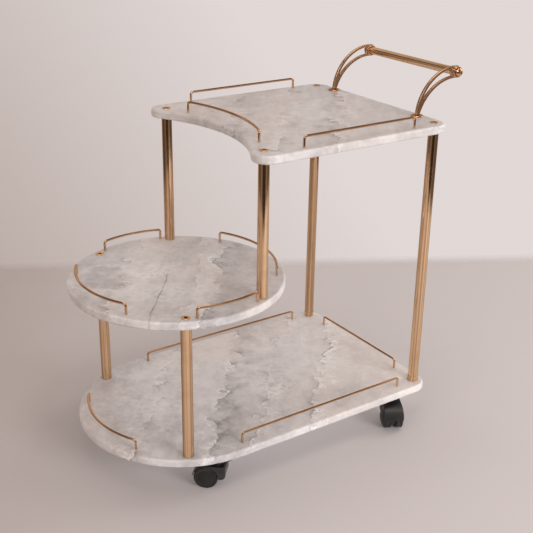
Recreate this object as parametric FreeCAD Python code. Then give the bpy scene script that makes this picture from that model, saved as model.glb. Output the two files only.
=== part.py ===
import FreeCAD, Part
import math
import os

# Three-tier tea trolley on four twin-wheel casters. All sizes are in millimetres.
# +X runs from the round end to the handle, +Y from the front to the back, +Z up from the floor.
# The layout is set out from the middle of the round board. Each piece is shifted once, at the end,
# so that the origin lies on the floor under the middle of the whole trolley.

# Boards
board_thickness = 18.0
board_edge_radius = 5.0
round_board_radius = 225.0
bottom_board_margin = 5.0        # bottom board's half width beyond the round board's radius
top_board_margin = 2.0           # top board's half width beyond the round board's radius
round_end_shift = 13.0           # centre of the bottom board's round end, from the round board's centre
handle_end_x = 528.0             # straight end of the top and bottom boards
bottom_corner_radius = 38.0
top_corner_radius = 35.0
bite_apex_x = 115.0              # deepest point of the bite in the top board
bite_radius = 328.0
horn_radius = 32.0               # rounding of the two horns beside the bite

# Posts
post_diameter = 22.0
post_wall = 1.2
lower_post_length = 288.0
upper_post_length = 282.0
post_edge_inset = 19.0           # axes of the short posts, in from the round board's edge
post_spread_deg = 24.8           # short posts either side of the round board's cross line
long_post_end_inset = 27.0       # axes of the long posts, in from the straight end
long_post_side_inset = 26.0      # axes of the long posts, in from the top board's side
collar_height = 13.0             # collar at the foot of a long post
collar_wall = 0.6
plug_length = 20.0               # threaded plug in each end of a post
slip_clearance = 0.05            # radial room of a piece that slides inside another

# Bolts
bolt_diameter = 6.0
bolt_reach = 15.0                # how far a bolt goes into its plug
bolt_hole_clearance = 0.3
bolt_head_diameter = 18.0
bolt_head_height = 1.6
bolt_head_edge = 0.6
bolt_socket_flats = 5.0
bolt_socket_depth = 1.2

# Gallery rails
rail_diameter = 5.0
rail_height = 22.0               # middle of the wire above its board
rail_bend_radius = 8.0
rail_seat_depth = 9.0            # length of a leg inside its board
rail_hole_clearance = 0.1
top_side_rail_inset = 16.4
top_side_rail_from_upper_post = 74.5
top_side_rail_from_long_post = 64.0
bite_rail_inset = 22.0
bite_rail_half_deg = 22.6
round_end_rail_inset = 18.5
round_side_rail_inset = 15.0
round_end_rail_half_deg = 33.0   # rails of the round board that face along X
round_side_rail_half_deg = 19.0  # rails of the round board that face along Y
bottom_side_rail_inset = 24.7
bottom_side_rail_from_lower_post = 116.5
bottom_side_rail_from_long_post = 51.0
end_rail_from_long_post = 65.0
bottom_round_rail_inset = 21.0
bottom_round_rail_half_deg = 32.0

# Handle
handle_arm_y = 142.0             # middle planes of the two arms
handle_base_inset = 21.0         # middle of an arm's foot, in from the straight end
handle_base_depth = 10.8         # length of an arm's foot along X
handle_bar_overhang = 82.0       # axis of the bar beyond the straight end
handle_bar_height = 84.0         # axis of the bar above the top board
upper_arc_height = -3.0          # centre of the arm's outer arc above the top board
lower_arc_height = -27.0         # centre of the arm's inner arc above the top board
arm_thickness = 6.6
arm_edge_radius = 2.2
arm_eye_radius = 13.4            # outline of the arm round the bar
upper_strand = 7.4               # mean height of the arm's two strands
lower_strand = 7.6
strand_taper = 1.4               # each strand gains this at the foot and loses it at the bar
slot_corner_radius = 1.6
slot_land = 1.2                  # between the slot and the outline of the eye
sleeve_radius = 12.2             # sleeve of the arm that holds the bar
sleeve_width = 16.0
sleeve_edge_radius = 1.5
bar_diameter = 17.0
bar_wall = 1.2
bar_end_length = 1.0             # bar beyond the sleeve
knob_diameter = 18.0
knob_band = 2.0
knob_length = 7.0
knob_spigot_length = 12.0
rosette_diameter = 27.0
rosette_thickness = 3.0
rosette_edge_radius = 1.8
handle_bolt_diameter = 4.0
handle_bolt_reach = 11.0

# Casters
caster_round_end_x = -22.0       # swivel axes near the round end
caster_handle_end_inset = 95.0   # swivel axes in from the straight end
caster_side_inset = 25.0         # swivel axes in from the bottom board's sides
round_end_heading_deg = 41.5     # how far the hoods are turned from +X, towards the sides
handle_end_heading_deg = -60.0
wheel_diameter = 50.0
wheel_inner_edge_radius = 1.5
wheel_outer_edge_radius = 3.0
wheel_rim_depth = 16.0           # from a wheel's inner face to its outer rim
wheel_dome_height = 6.0
wheel_dome_step = 2.0            # flat ring round the dome
wheel_rim_wall = 4.0
wheel_hub_radius = 8.0
wheel_floor = 4.0                # wall behind the dome
wheel_side_gap = 0.4
axle_diameter = 6.0
axle_end_gap = 0.4
web_thickness = 10.0             # wall of the hood between the wheels
web_radius = 20.0
trail = 28.0                     # from the swivel axis to the axle
hood_clearance = 1.2             # between the wheels' treads and the hood
hood_wall = 2.0
hood_half_width = 22.0
hood_nose = 13.0                 # front of the hood, ahead of the swivel axis
hood_nose_radius = 6.0
hood_chin_radius = 11.0
hood_chin_below_axle = 2.0
hood_tail_deg = 168.0            # where the hood ends behind the wheels, about the axle
hood_edge_radius = 2.0
swivel_boss_radius = 9.0
swivel_boss_height = 7.8         # above the hood's roof
swivel_gap = 0.5
kingpin_diameter = 8.0
kingpin_length = 26.0            # below the plate
kingpin_head_diameter = 12.0
plate_size = 38.0
plate_thickness = 2.5
plate_corner_radius = 5.0
plate_screw_spacing = 28.0
screw_diameter = 4.0
screw_length = 11.0              # inside the board
screw_head_diameter = 7.5
screw_head_height = 2.0
screw_head_bevel = 1.0
screw_clearance = 0.1

# Levels
wheel_radius = wheel_diameter / 2
hood_roof_z = wheel_diameter + hood_clearance + hood_wall
plate_z = hood_roof_z + swivel_boss_height + swivel_gap
bottom_z = plate_z + plate_thickness
bottom_top_z = bottom_z + board_thickness
middle_z = bottom_top_z + lower_post_length
middle_top_z = middle_z + board_thickness
top_z = middle_top_z + upper_post_length
top_top_z = top_z + board_thickness

# Places in plan
bottom_half_width = round_board_radius + bottom_board_margin
top_half_width = round_board_radius + top_board_margin
post_circle = round_board_radius - post_edge_inset
short_post_x = post_circle * math.sin(math.radians(post_spread_deg))
short_post_y = post_circle * math.cos(math.radians(post_spread_deg))
long_post_x = handle_end_x - long_post_end_inset
long_post_y = top_half_width - long_post_side_inset
bite_centre_x = bite_apex_x - bite_radius
handle_base_x = handle_end_x - handle_base_inset
bar_x = handle_end_x + handle_bar_overhang
bar_z = top_top_z + handle_bar_height
caster_y = bottom_half_width - caster_side_inset

SIDES = {"front": -1, "back": 1}
CASTERS = {
    "left": (caster_round_end_x, round_end_heading_deg),
    "right": (handle_end_x - caster_handle_end_inset, handle_end_heading_deg),
}


# Small geometry helpers

def vec(x, y, z=0.0):
    return FreeCAD.Vector(x, y, z)


UP = vec(0, 0, 1)
ALONG_Y = vec(0, 1, 0)
ORIGIN = vec(0, 0, 0)
TOUCHING = 1e-6                   # points and planes closer than this count as one


def cylinder(radius, height, x, y, z):
    return Part.makeCylinder(radius, height, vec(x, y, z), UP)


def tube(outer_radius, inner_radius, height, x, y, z):
    outer = cylinder(outer_radius, height, x, y, z)
    return outer.cut(cylinder(inner_radius, height, x, y, z))


def line(start, end):
    return Part.LineSegment(start, end).toShape()


def arc(start, middle, end):
    return Part.Arc(start, middle, end).toShape()


def plan_point(centre, radius, degrees):
    angle = math.radians(degrees)
    return centre + vec(radius * math.cos(angle), radius * math.sin(angle))


def plan_arc(centre, radius, start, end):
    angles = (start, (start + end) / 2, end)
    return arc(*[plan_point(centre, radius, angle) for angle in angles])


def side_point(centre, radius, degrees):
    angle = math.radians(degrees)
    return centre + vec(radius * math.cos(angle), 0, radius * math.sin(angle))


def side_arc(centre, radius, start, end):
    angles = (start, (start + end) / 2, end)
    return arc(*[side_point(centre, radius, angle) for angle in angles])


def side_angle(centre, point):
    return math.degrees(math.atan2(point.z - centre.z, point.x - centre.x))


def closed_face(edges):
    """A face whose edges run in order, with straight lines where two neighbours stand apart."""
    chain = []
    for edge, following in zip(edges, edges[1:] + edges[:1]):
        chain.append(edge)
        end = edge.valueAt(edge.LastParameter)
        start = following.valueAt(following.FirstParameter)
        if (end - start).Length > TOUCHING:
            chain.append(line(end, start))
    return Part.Face(Part.Wire(chain))


def revolved(edges, axis_point, axis):
    """A solid of revolution from profile edges that close on themselves."""
    solid = closed_face(edges).revolve(axis_point, axis, 360)
    return solid if solid.Volume > 0 else solid.reversed()


def polyline(points):
    return [line(start, end) for start, end in zip(points, points[1:])]


def mirrored_y(shape):
    return shape.mirror(ORIGIN, ALONG_Y)


# Boards

def board(outline, z):
    slab = outline.extrude(UP * board_thickness)
    slab.translate(UP * z)
    rims = [edge for edge in slab.Edges if edge.BoundBox.ZLength < TOUCHING]
    return slab.makeFillet(board_edge_radius, rims)


def straight_end(half_width, corner_radius):
    """The two rounded corners of a board's handle end, from the front to the back."""
    x = handle_end_x - corner_radius
    y = half_width - corner_radius
    front = plan_arc(vec(x, -y), corner_radius, -90, 0)
    back = plan_arc(vec(x, y), corner_radius, 0, 90)
    return [front, back]


def bottom_outline():
    round_end = plan_arc(vec(round_end_shift, 0), bottom_half_width, 90, 270)
    return closed_face(straight_end(bottom_half_width, bottom_corner_radius) + [round_end])


def round_outline():
    return Part.Face(Part.Wire(Part.Circle(ORIGIN, UP, round_board_radius).toShape()))


def top_outline():
    """Two horns reach round the bite, each tangent to the bite and to its side."""
    bite_centre = vec(bite_centre_x, 0)
    horn_y = top_half_width - horn_radius
    horn_x = bite_centre_x + math.sqrt((bite_radius + horn_radius) ** 2 - horn_y ** 2)
    turn = math.degrees(math.atan2(horn_y, horn_x - bite_centre_x))
    back_horn = plan_arc(vec(horn_x, horn_y), horn_radius, 90, 180 + turn)
    bite = plan_arc(bite_centre, bite_radius, turn, -turn)
    front_horn = plan_arc(vec(horn_x, -horn_y), horn_radius, 180 - turn, 270)
    return closed_face(straight_end(top_half_width, top_corner_radius) + [back_horn, bite, front_horn])


def rail_holes(runs, board_top):
    radius = rail_diameter / 2 + rail_hole_clearance
    feet = [foot for run in runs for foot in run["feet"]]
    return [cylinder(radius, rail_seat_depth, foot.x, foot.y, board_top - rail_seat_depth) for foot in feet]


def through_holes(places, diameter, board_z):
    radius = diameter / 2 + bolt_hole_clearance
    return [cylinder(radius, board_thickness, x, y, board_z) for x, y in places]


def screw_holes():
    radius = screw_diameter / 2 + screw_clearance
    return [cylinder(radius, screw_length, x, y, bottom_z) for x, y in screw_places()]


def bottom_board():
    holes = rail_holes(bottom_runs().values(), bottom_top_z)
    holes += through_holes(lower_post_places() + long_post_places(), bolt_diameter, bottom_z)
    holes += screw_holes()
    return board(bottom_outline(), bottom_z).cut(Part.makeCompound(holes))


def middle_board():
    holes = rail_holes(middle_runs().values(), middle_top_z)
    holes += through_holes(lower_post_places() + upper_post_places(), bolt_diameter, middle_z)
    return board(round_outline(), middle_z).cut(Part.makeCompound(holes))


def top_board():
    holes = rail_holes(top_runs().values(), top_top_z)
    holes += through_holes(upper_post_places() + long_post_places(), bolt_diameter, top_z)
    holes += through_holes(handle_places(), handle_bolt_diameter, top_z)
    return board(top_outline(), top_z).cut(Part.makeCompound(holes))


# Posts, their plugs and collars

def lower_post_places():
    return [(-short_post_x, side * short_post_y) for side in SIDES.values()]


def upper_post_places():
    return [(short_post_x, side * short_post_y) for side in SIDES.values()]


def long_post_places():
    return [(long_post_x, side * long_post_y) for side in SIDES.values()]


def post_sets():
    """Name, places, foot and length of each pair of posts."""
    return [
        ("lower_post", lower_post_places(), bottom_top_z, lower_post_length),
        ("upper_post", upper_post_places(), middle_top_z, upper_post_length),
        ("long_post", long_post_places(), bottom_top_z, top_z - bottom_top_z),
    ]


def post(place, foot_z, length):
    radius = post_diameter / 2
    return tube(radius, radius - post_wall, length, *place, foot_z)


def post_plugs():
    radius = post_diameter / 2 - post_wall - slip_clearance
    bore = bolt_diameter / 2 + slip_clearance
    plugs = []
    for _, places, foot_z, length in post_sets():
        for place in places:
            plugs.append(tube(radius, bore, plug_length, *place, foot_z))
            plugs.append(tube(radius, bore, plug_length, *place, foot_z + length - plug_length))
    return Part.makeCompound(plugs)


def long_post_collars():
    inner = post_diameter / 2 + slip_clearance
    outer = inner + collar_wall
    collars = []
    for place in long_post_places():
        collar = tube(outer, inner, collar_height, *place, bottom_top_z)
        rim = [edge for edge in collar.Edges
               if edge.BoundBox.ZMin > bottom_top_z + collar_height / 2
               and edge.BoundBox.XLength > 2 * outer - collar_wall]
        collars.append(collar.makeFillet(collar_wall / 2, rim))
    return Part.makeCompound(collars)


# Bolts

def bolt(diameter, shank_length):
    """A flat-headed bolt that points down, with the underside of its head at the origin."""
    head = bolt_head_diameter / 2
    shank = diameter / 2
    top = bolt_head_height
    edge_centre = vec(head - bolt_head_edge, 0, top - bolt_head_edge)
    profile = polyline([vec(0, 0, top), vec(0, 0, -shank_length), vec(shank, 0, -shank_length),
                        vec(shank, 0, 0), vec(head, 0, 0), vec(head, 0, top - bolt_head_edge)])
    profile.append(side_arc(edge_centre, bolt_head_edge, 0, 90))
    solid = revolved(profile, ORIGIN, UP)
    corner = bolt_socket_flats / math.sqrt(3)
    corners = [plan_point(vec(0, 0, top), corner, 60 * turn) for turn in range(7)]
    socket = Part.Face(Part.Wire(polyline(corners))).extrude(UP * -bolt_socket_depth)
    return solid.cut(socket)


def placed_bolts(places, face_z, pointing_up, diameter, shank_length):
    bolts = []
    for x, y in places:
        piece = bolt(diameter, shank_length)
        if pointing_up:
            piece.rotate(ORIGIN, vec(1, 0, 0), 180)
        piece.translate(vec(x, y, face_z))
        bolts.append(piece)
    return bolts


def top_board_bolts():
    places = upper_post_places() + long_post_places()
    length = board_thickness + bolt_reach
    return Part.makeCompound(placed_bolts(places, top_top_z, False, bolt_diameter, length))


def middle_board_bolts():
    length = board_thickness + bolt_reach
    from_above = placed_bolts(lower_post_places(), middle_top_z, False, bolt_diameter, length)
    from_below = placed_bolts(upper_post_places(), middle_z, True, bolt_diameter, length)
    return Part.makeCompound(from_above + from_below)


def bottom_board_bolts():
    places = lower_post_places() + long_post_places()
    length = board_thickness + bolt_reach
    return Part.makeCompound(placed_bolts(places, bottom_z, True, bolt_diameter, length))


def handle_bolts():
    length = board_thickness + rosette_thickness + handle_bolt_reach
    return Part.makeCompound(placed_bolts(handle_places(), top_z, True, handle_bolt_diameter, length))


# Gallery rails

def straight_run(start, end):
    """A run between two feet in plan."""
    heading = (end - start).normalize()
    first = start + heading * rail_bend_radius
    last = end - heading * rail_bend_radius
    return {"feet": [start, end], "headings": [heading, heading * -1], "run": line(first, last)}


def curved_run(centre, radius, middle_deg, half_deg):
    """A run along an arc in plan. Its bends leave the arc along the tangents at its ends."""
    reach = half_deg - math.degrees(rail_bend_radius / radius)
    first = plan_point(centre, radius, middle_deg - reach)
    last = plan_point(centre, radius, middle_deg + reach)
    onward = plan_point(ORIGIN, 1, middle_deg - reach + 90)
    backward = plan_point(ORIGIN, 1, middle_deg + reach - 90)
    feet = [first - onward * rail_bend_radius, last - backward * rail_bend_radius]
    run = plan_arc(centre, radius, middle_deg - reach, middle_deg + reach)
    return {"feet": feet, "headings": [onward, backward], "run": run}


def bend_points(foot, heading, height):
    """Start, middle and end of the bend from a leg into the run."""
    centre = foot + heading * rail_bend_radius + UP * (height - rail_bend_radius)
    slope = math.sqrt(0.5) * rail_bend_radius
    start = centre - heading * rail_bend_radius
    middle = centre - heading * slope + UP * slope
    end = centre + UP * rail_bend_radius
    return start, middle, end


def rail(run, board_top):
    """Leg, bend, run, bend and leg in one piece of wire."""
    height = board_top + rail_height
    seat = UP * (board_top - rail_seat_depth)
    first_bend, last_bend = [bend_points(foot, heading, height)
                             for foot, heading in zip(run["feet"], run["headings"])]
    level = run["run"].copy()
    level.translate(UP * height)
    first_leg = line(run["feet"][0] + seat, first_bend[0])
    last_leg = line(last_bend[0], run["feet"][1] + seat)
    path = Part.Wire([first_leg, arc(*first_bend), level, arc(*reversed(last_bend)), last_leg])
    section = Part.Circle(run["feet"][0] + seat, UP, rail_diameter / 2)
    return path.makePipeShell([Part.Wire(section.toShape())], True, False)


def top_runs():
    runs = {}
    start_x = short_post_x + top_side_rail_from_upper_post
    end_x = long_post_x - top_side_rail_from_long_post
    for name, side in SIDES.items():
        y = side * (top_half_width - top_side_rail_inset)
        runs["top_rail_" + name] = straight_run(vec(start_x, y), vec(end_x, y))
    radius = bite_radius + bite_rail_inset
    runs["top_rail_bite"] = curved_run(vec(bite_centre_x, 0), radius, 0, bite_rail_half_deg)
    return runs


def middle_runs():
    end_radius = round_board_radius - round_end_rail_inset
    side_radius = round_board_radius - round_side_rail_inset
    return {
        "middle_rail_front": curved_run(ORIGIN, side_radius, -90, round_side_rail_half_deg),
        "middle_rail_back": curved_run(ORIGIN, side_radius, 90, round_side_rail_half_deg),
        "middle_rail_round_end": curved_run(ORIGIN, end_radius, 180, round_end_rail_half_deg),
        "middle_rail_inner": curved_run(ORIGIN, end_radius, 0, round_end_rail_half_deg),
    }


def bottom_runs():
    runs = {}
    start_x = -short_post_x + bottom_side_rail_from_lower_post
    end_x = long_post_x - bottom_side_rail_from_long_post
    for name, side in SIDES.items():
        y = side * (bottom_half_width - bottom_side_rail_inset)
        runs["bottom_rail_" + name] = straight_run(vec(start_x, y), vec(end_x, y))
    end_y = long_post_y - end_rail_from_long_post
    runs["bottom_rail_handle_end"] = straight_run(vec(long_post_x, -end_y), vec(long_post_x, end_y))
    centre = vec(round_end_shift, 0)
    radius = bottom_half_width - bottom_round_rail_inset
    runs["bottom_rail_round_end"] = curved_run(centre, radius, 180, bottom_round_rail_half_deg)
    return runs


# Handle

def handle_places():
    return [(handle_base_x, side * handle_arm_y) for side in SIDES.values()]


def tangent_arc_centre(foot, centre_z, eye_radius):
    """Centre, at height centre_z, of the arc that starts at the foot and runs tangent to the eye.
    The arc goes round the outside of the eye, or passes under it where eye_radius is negative."""
    eye = vec(bar_x, 0, bar_z)
    reach = eye.x - foot.x
    foot_drop = foot.z - centre_z
    spare = reach ** 2 - eye_radius ** 2
    balance = spare + (eye.z - centre_z) ** 2 - foot_drop ** 2
    root = math.sqrt(balance ** 2 + 4 * foot_drop ** 2 * spare)
    offset = (reach * balance + eye_radius * root) / (2 * spare)
    return vec(foot.x + offset, 0, centre_z)


def arm_face():
    """Outline of an arm from the side: a foot, an outer arc, the eye round the bar and an inner arc,
    with a slot that leaves two strands."""
    base_z = top_top_z + rosette_thickness
    eye = vec(bar_x, 0, bar_z)
    outer_foot = vec(handle_base_x - handle_base_depth / 2, 0, base_z)
    inner_foot = vec(handle_base_x + handle_base_depth / 2, 0, base_z)
    outer = tangent_arc_centre(outer_foot, top_top_z + upper_arc_height, arm_eye_radius)
    inner = tangent_arc_centre(inner_foot, top_top_z + lower_arc_height, -arm_eye_radius)
    outer_radius = (outer_foot - outer).Length
    inner_radius = (inner_foot - inner).Length
    eye_top = side_angle(outer, eye)
    eye_under = side_angle(inner, eye)
    outer_start = side_angle(outer, outer_foot)
    outer_arc = side_arc(outer, outer_radius, outer_start % 360, eye_top)
    eye_arc = side_arc(eye, arm_eye_radius, eye_top, eye_under - 180)
    inner_arc = side_arc(inner, inner_radius, eye_under, side_angle(inner, inner_foot))
    outline = closed_face([outer_arc, eye_arc, inner_arc])

    drift = vec(strand_taper, 0, strand_taper)
    under_upper = disc(outer + drift, outer_radius - upper_strand)
    over_lower = disc(inner - drift, inner_radius + lower_strand)
    slot = under_upper.cut(over_lower).cut(disc(eye, arm_eye_radius + slot_land)).common(outline)
    return outline.cut(rounded(slot.Faces[0], slot_corner_radius))


def disc(centre, radius):
    return Part.Face(Part.Wire(Part.Circle(centre, ALONG_Y, radius).toShape()))


def rounded(face, radius):
    """The face with its outward corners rounded."""
    return face.makeOffset2D(-radius).makeOffset2D(radius)


def handle_arm(side):
    half = arm_thickness / 2
    plate = arm_face().extrude(ALONG_Y * arm_thickness)
    plate.translate(ALONG_Y * -half)
    base_z = plate.BoundBox.ZMin
    rims = [edge for edge in plate.Edges
            if edge.BoundBox.YLength < TOUCHING and edge.BoundBox.ZMax > base_z + TOUCHING]
    plate = plate.makeFillet(arm_edge_radius, rims)
    sleeve_start = vec(bar_x, -sleeve_width / 2, bar_z)
    sleeve = Part.makeCylinder(sleeve_radius, sleeve_width, sleeve_start, ALONG_Y)
    ends = [edge for edge in sleeve.Edges if edge.BoundBox.YLength < TOUCHING]
    sleeve = sleeve.makeFillet(sleeve_edge_radius, ends)
    bore = Part.makeCylinder(bar_diameter / 2 + slip_clearance, sleeve_width, sleeve_start, ALONG_Y)
    hole_radius = handle_bolt_diameter / 2 + slip_clearance
    bolt_hole = cylinder(hole_radius, handle_bolt_reach, handle_base_x, 0, base_z)
    arm = plate.fuse(sleeve).cut(bore).cut(bolt_hole).removeSplitter()
    arm.translate(ALONG_Y * side * handle_arm_y)
    return arm


def bar_half_length():
    return handle_arm_y + sleeve_width / 2 + bar_end_length


def handle_bar():
    half = bar_half_length()
    start = vec(bar_x, -half, bar_z)
    outer = Part.makeCylinder(bar_diameter / 2, 2 * half, start, ALONG_Y)
    return outer.cut(Part.makeCylinder(bar_diameter / 2 - bar_wall, 2 * half, start, ALONG_Y))


def dome_arc(rim_radius, height, rim_y):
    """Profile of a round cap: from its rim to its top on the axis."""
    half_deg = math.degrees(2 * math.atan2(height, rim_radius))
    ball = rim_radius / math.sin(math.radians(half_deg))
    return plan_arc(vec(0, rim_y + height - ball), ball, 90 - half_deg, 90)


def handle_knobs():
    """Round end knobs, each with a spigot that fills the end of the bar."""
    spigot = bar_diameter / 2 - bar_wall - slip_clearance
    radius = knob_diameter / 2
    profile = polyline([vec(0, knob_length), vec(0, -knob_spigot_length), vec(spigot, -knob_spigot_length),
                        vec(spigot, 0), vec(radius, 0), vec(radius, knob_band)])
    profile.append(dome_arc(radius, knob_length - knob_band, knob_band))
    knob = revolved(profile, ORIGIN, ALONG_Y)
    knob.translate(vec(bar_x, bar_half_length(), bar_z))
    return Part.makeCompound([mirrored_y(knob), knob])


def handle_rosettes():
    radius = rosette_diameter / 2
    bore = handle_bolt_diameter / 2 + bolt_hole_clearance
    rosettes = []
    for x, y in handle_places():
        rosette = cylinder(radius, rosette_thickness, x, y, top_top_z)
        rim = [edge for edge in rosette.Edges if edge.BoundBox.ZMin > top_top_z + rosette_thickness / 2]
        rosette = rosette.makeFillet(rosette_edge_radius, rim)
        rosettes.append(rosette.cut(cylinder(bore, rosette_thickness, x, y, top_top_z)))
    return Part.makeCompound(rosettes)


# Casters, each built about its swivel axis with the axle behind it, on -X

def caster_places():
    """Name, plan place and heading of each caster."""
    places = {}
    for side_name, side in SIDES.items():
        for end_name, (x, heading) in CASTERS.items():
            places[side_name + "_" + end_name] = (x, side * caster_y, side * heading)
    return places


def screw_offsets():
    half = plate_screw_spacing / 2
    return [(half, half), (-half, half), (-half, -half), (half, -half)]


def screw_places():
    return [(x + dx, y + dy) for x, y, _ in caster_places().values() for dx, dy in screw_offsets()]


def kingpin_profile(room):
    """Half profile of the riveted kingpin, grown by the given room all round its shank and head."""
    shank = kingpin_diameter / 2 + room
    head = kingpin_head_diameter / 2 + room
    head_depth = head - shank
    return [vec(0, 0, bottom_z), vec(0, 0, plate_z - kingpin_length), vec(shank, 0, plate_z - kingpin_length),
            vec(shank, 0, bottom_z - head_depth), vec(head, 0, bottom_z), vec(0, 0, bottom_z)]


def kingpin():
    return revolved(polyline(kingpin_profile(0.0)), ORIGIN, UP)


def caster_plate():
    half = plate_size / 2 - plate_corner_radius
    corners = [plan_arc(vec(half * cx, half * cy, plate_z), plate_corner_radius, start, start + 90)
               for cx, cy, start in ((1, 1, 0), (-1, 1, 90), (-1, -1, 180), (1, -1, 270))]
    plate = closed_face(corners).extrude(UP * plate_thickness)
    holes = [cylinder(screw_diameter / 2 + screw_clearance, plate_thickness, dx, dy, plate_z)
             for dx, dy in screw_offsets()]
    rivet_seat = revolved(polyline(kingpin_profile(slip_clearance)), ORIGIN, UP)
    return plate.cut(Part.makeCompound(holes)).cut(rivet_seat)


def caster_screws():
    """Pan-headed wood screws that come up through the caster plates into the bottom board."""
    head = screw_head_diameter / 2
    shank = screw_diameter / 2
    low = plate_z - screw_head_height
    tip = bottom_z + screw_length
    bevel_z = low + screw_head_bevel
    profile = polyline([vec(0, 0, low), vec(head - screw_head_bevel, 0, low), vec(head, 0, bevel_z),
                        vec(head, 0, plate_z), vec(shank, 0, plate_z), vec(shank, 0, tip), vec(0, 0, tip)])
    screw = revolved(profile, ORIGIN, UP)
    screws = []
    for x, y in screw_places():
        piece = screw.copy()
        piece.translate(vec(x, y, 0))
        screws.append(piece)
    return Part.makeCompound(screws)


def axle_centre():
    return vec(-trail, 0, wheel_radius)


def axle_cylinder(radius, start_y, end_y):
    start = axle_centre() + ALONG_Y * start_y
    return Part.makeCylinder(radius, end_y - start_y, start, ALONG_Y)


def hood_profile():
    """Side outline of the hood: round over the wheels, level over the swivel, and down the nose to a chin."""
    axle = axle_centre()
    shell_radius = wheel_radius + hood_clearance + hood_wall
    chin_z = wheel_radius - hood_chin_below_axle
    over_wheels = side_arc(axle, shell_radius, hood_tail_deg, 90)
    nose_centre = vec(hood_nose - hood_nose_radius, 0, hood_roof_z - hood_nose_radius)
    chin_centre = vec(hood_nose - hood_chin_radius, 0, chin_z + hood_chin_radius)
    nose = side_arc(nose_centre, hood_nose_radius, 90, 0)
    chin = side_arc(chin_centre, hood_chin_radius, 0, -90)
    back_to_axle = line(vec(axle.x, 0, chin_z), axle)
    return closed_face([over_wheels, nose, chin, back_to_axle])


def slab_y(face, start_y, end_y):
    slab = face.extrude(ALONG_Y * (end_y - start_y))
    slab.translate(ALONG_Y * start_y)
    return slab


def hood_cavity(side):
    """Hollow of the nose on one side of the swivel boss, open towards the wheel and the floor."""
    inner_y = swivel_boss_radius
    outer_y = hood_half_width - hood_wall
    top = hood_roof_z - hood_wall
    front = hood_nose - hood_wall
    bend = hood_chin_radius - hood_wall
    chin_z = wheel_radius - hood_chin_below_axle + hood_wall
    mouth_z = chin_z - 2 * hood_wall
    lip_x = front - bend - hood_wall
    chin = side_arc(vec(front - bend, 0, chin_z + bend), bend, -90, 0)
    brow = side_arc(vec(front - bend, 0, top - bend), bend, 0, 90)
    back = line(vec(-trail, 0, top), vec(-trail, 0, mouth_z))
    lip = line(vec(lip_x, 0, mouth_z), vec(lip_x, 0, chin_z))
    face = closed_face([chin, brow, back, lip])
    cavity = slab_y(face, inner_y, outer_y)
    return cavity if side > 0 else mirrored_y(cavity)


def caster_body():
    """Moulded hood with a web between the wheels, a boss for the kingpin and hollows beside it."""
    block = slab_y(hood_profile(), -hood_half_width, hood_half_width)
    axle = axle_centre()
    shell_radius = wheel_radius + hood_clearance + hood_wall
    rims = []
    for edge in block.Edges:
        middle = edge.valueAt((edge.FirstParameter + edge.LastParameter) / 2)
        outside = math.hypot(middle.x - axle.x, middle.z - axle.z) > shell_radius - TOUCHING
        if edge.BoundBox.YLength < TOUCHING and outside:
            rims.append(edge)
    block = block.makeFillet(hood_edge_radius, rims)
    boss = cylinder(swivel_boss_radius, swivel_boss_height + hood_wall, 0, 0, hood_roof_z - hood_wall)
    web_half = web_thickness / 2
    pocket_radius = wheel_radius + hood_clearance
    pockets = [axle_cylinder(pocket_radius, web_half, 2 * hood_half_width),
               axle_cylinder(pocket_radius, -2 * hood_half_width, -web_half)]
    body = block.fuse(boss).cut(Part.makeCompound(pockets))
    body = body.cut(Part.makeCompound([hood_cavity(1), hood_cavity(-1)]))
    body = body.fuse(axle_cylinder(web_radius, -web_half, web_half))
    axle_bore = axle_cylinder(axle_diameter / 2 + slip_clearance, -web_half, web_half)
    pin_depth = kingpin_length + swivel_gap
    pin_bore = cylinder(kingpin_diameter / 2 + slip_clearance, pin_depth, 0, 0, plate_z - pin_depth)
    return body.cut(axle_bore).cut(pin_bore).removeSplitter()


def wheel_inner_y():
    return web_thickness / 2 + wheel_side_gap


def axle_bore_end():
    """How far out, from the middle of the caster, a wheel's blind bore reaches."""
    return wheel_inner_y() + wheel_rim_depth


def caster_axle():
    half = axle_bore_end() - axle_end_gap
    return axle_cylinder(axle_diameter / 2, -half, half)


def caster_wheel(side):
    """A wheel on the +Y or -Y side: a tread, a hollow back round the hub and a domed face."""
    inner = wheel_inner_y()
    rim = inner + wheel_rim_depth
    bore = axle_diameter / 2 + slip_clearance
    recess = rim - wheel_floor
    rim_inside = wheel_radius - wheel_rim_wall
    dome_radius = wheel_radius - wheel_outer_edge_radius - wheel_dome_step
    inner_corner = vec(wheel_radius - wheel_inner_edge_radius, inner + wheel_inner_edge_radius)
    outer_corner = vec(wheel_radius - wheel_outer_edge_radius, rim - wheel_outer_edge_radius)
    tread_in = plan_arc(inner_corner, wheel_inner_edge_radius, -90, 0)
    tread_out = plan_arc(outer_corner, wheel_outer_edge_radius, 0, 90)
    dome = dome_arc(dome_radius, wheel_dome_height, rim)
    back = polyline([vec(0, rim + wheel_dome_height), vec(0, rim), vec(bore, rim), vec(bore, inner),
                     vec(wheel_hub_radius, inner), vec(wheel_hub_radius, recess), vec(rim_inside, recess),
                     vec(rim_inside, inner)])
    wheel = revolved(back + [tread_in, tread_out, dome], ORIGIN, ALONG_Y)
    wheel.translate(axle_centre())
    return wheel if side > 0 else mirrored_y(wheel)


def caster_parts():
    return {
        "plate": caster_plate(),
        "kingpin": kingpin(),
        "body": caster_body(),
        "axle": caster_axle(),
        "wheel_left": caster_wheel(1),
        "wheel_right": caster_wheel(-1),
    }


def placed_casters():
    """The four casters. A plate stays square to the boards, and the rest turns with its heading."""
    model = caster_parts()
    parts = {}
    for caster, (x, y, heading) in caster_places().items():
        for part, shape in model.items():
            piece = shape.copy()
            if part != "plate":
                piece.rotate(ORIGIN, UP, heading)
            piece.translate(vec(x, y, 0))
            parts["%s_caster_%s" % (caster, part)] = piece
    return parts


# The whole trolley

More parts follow.
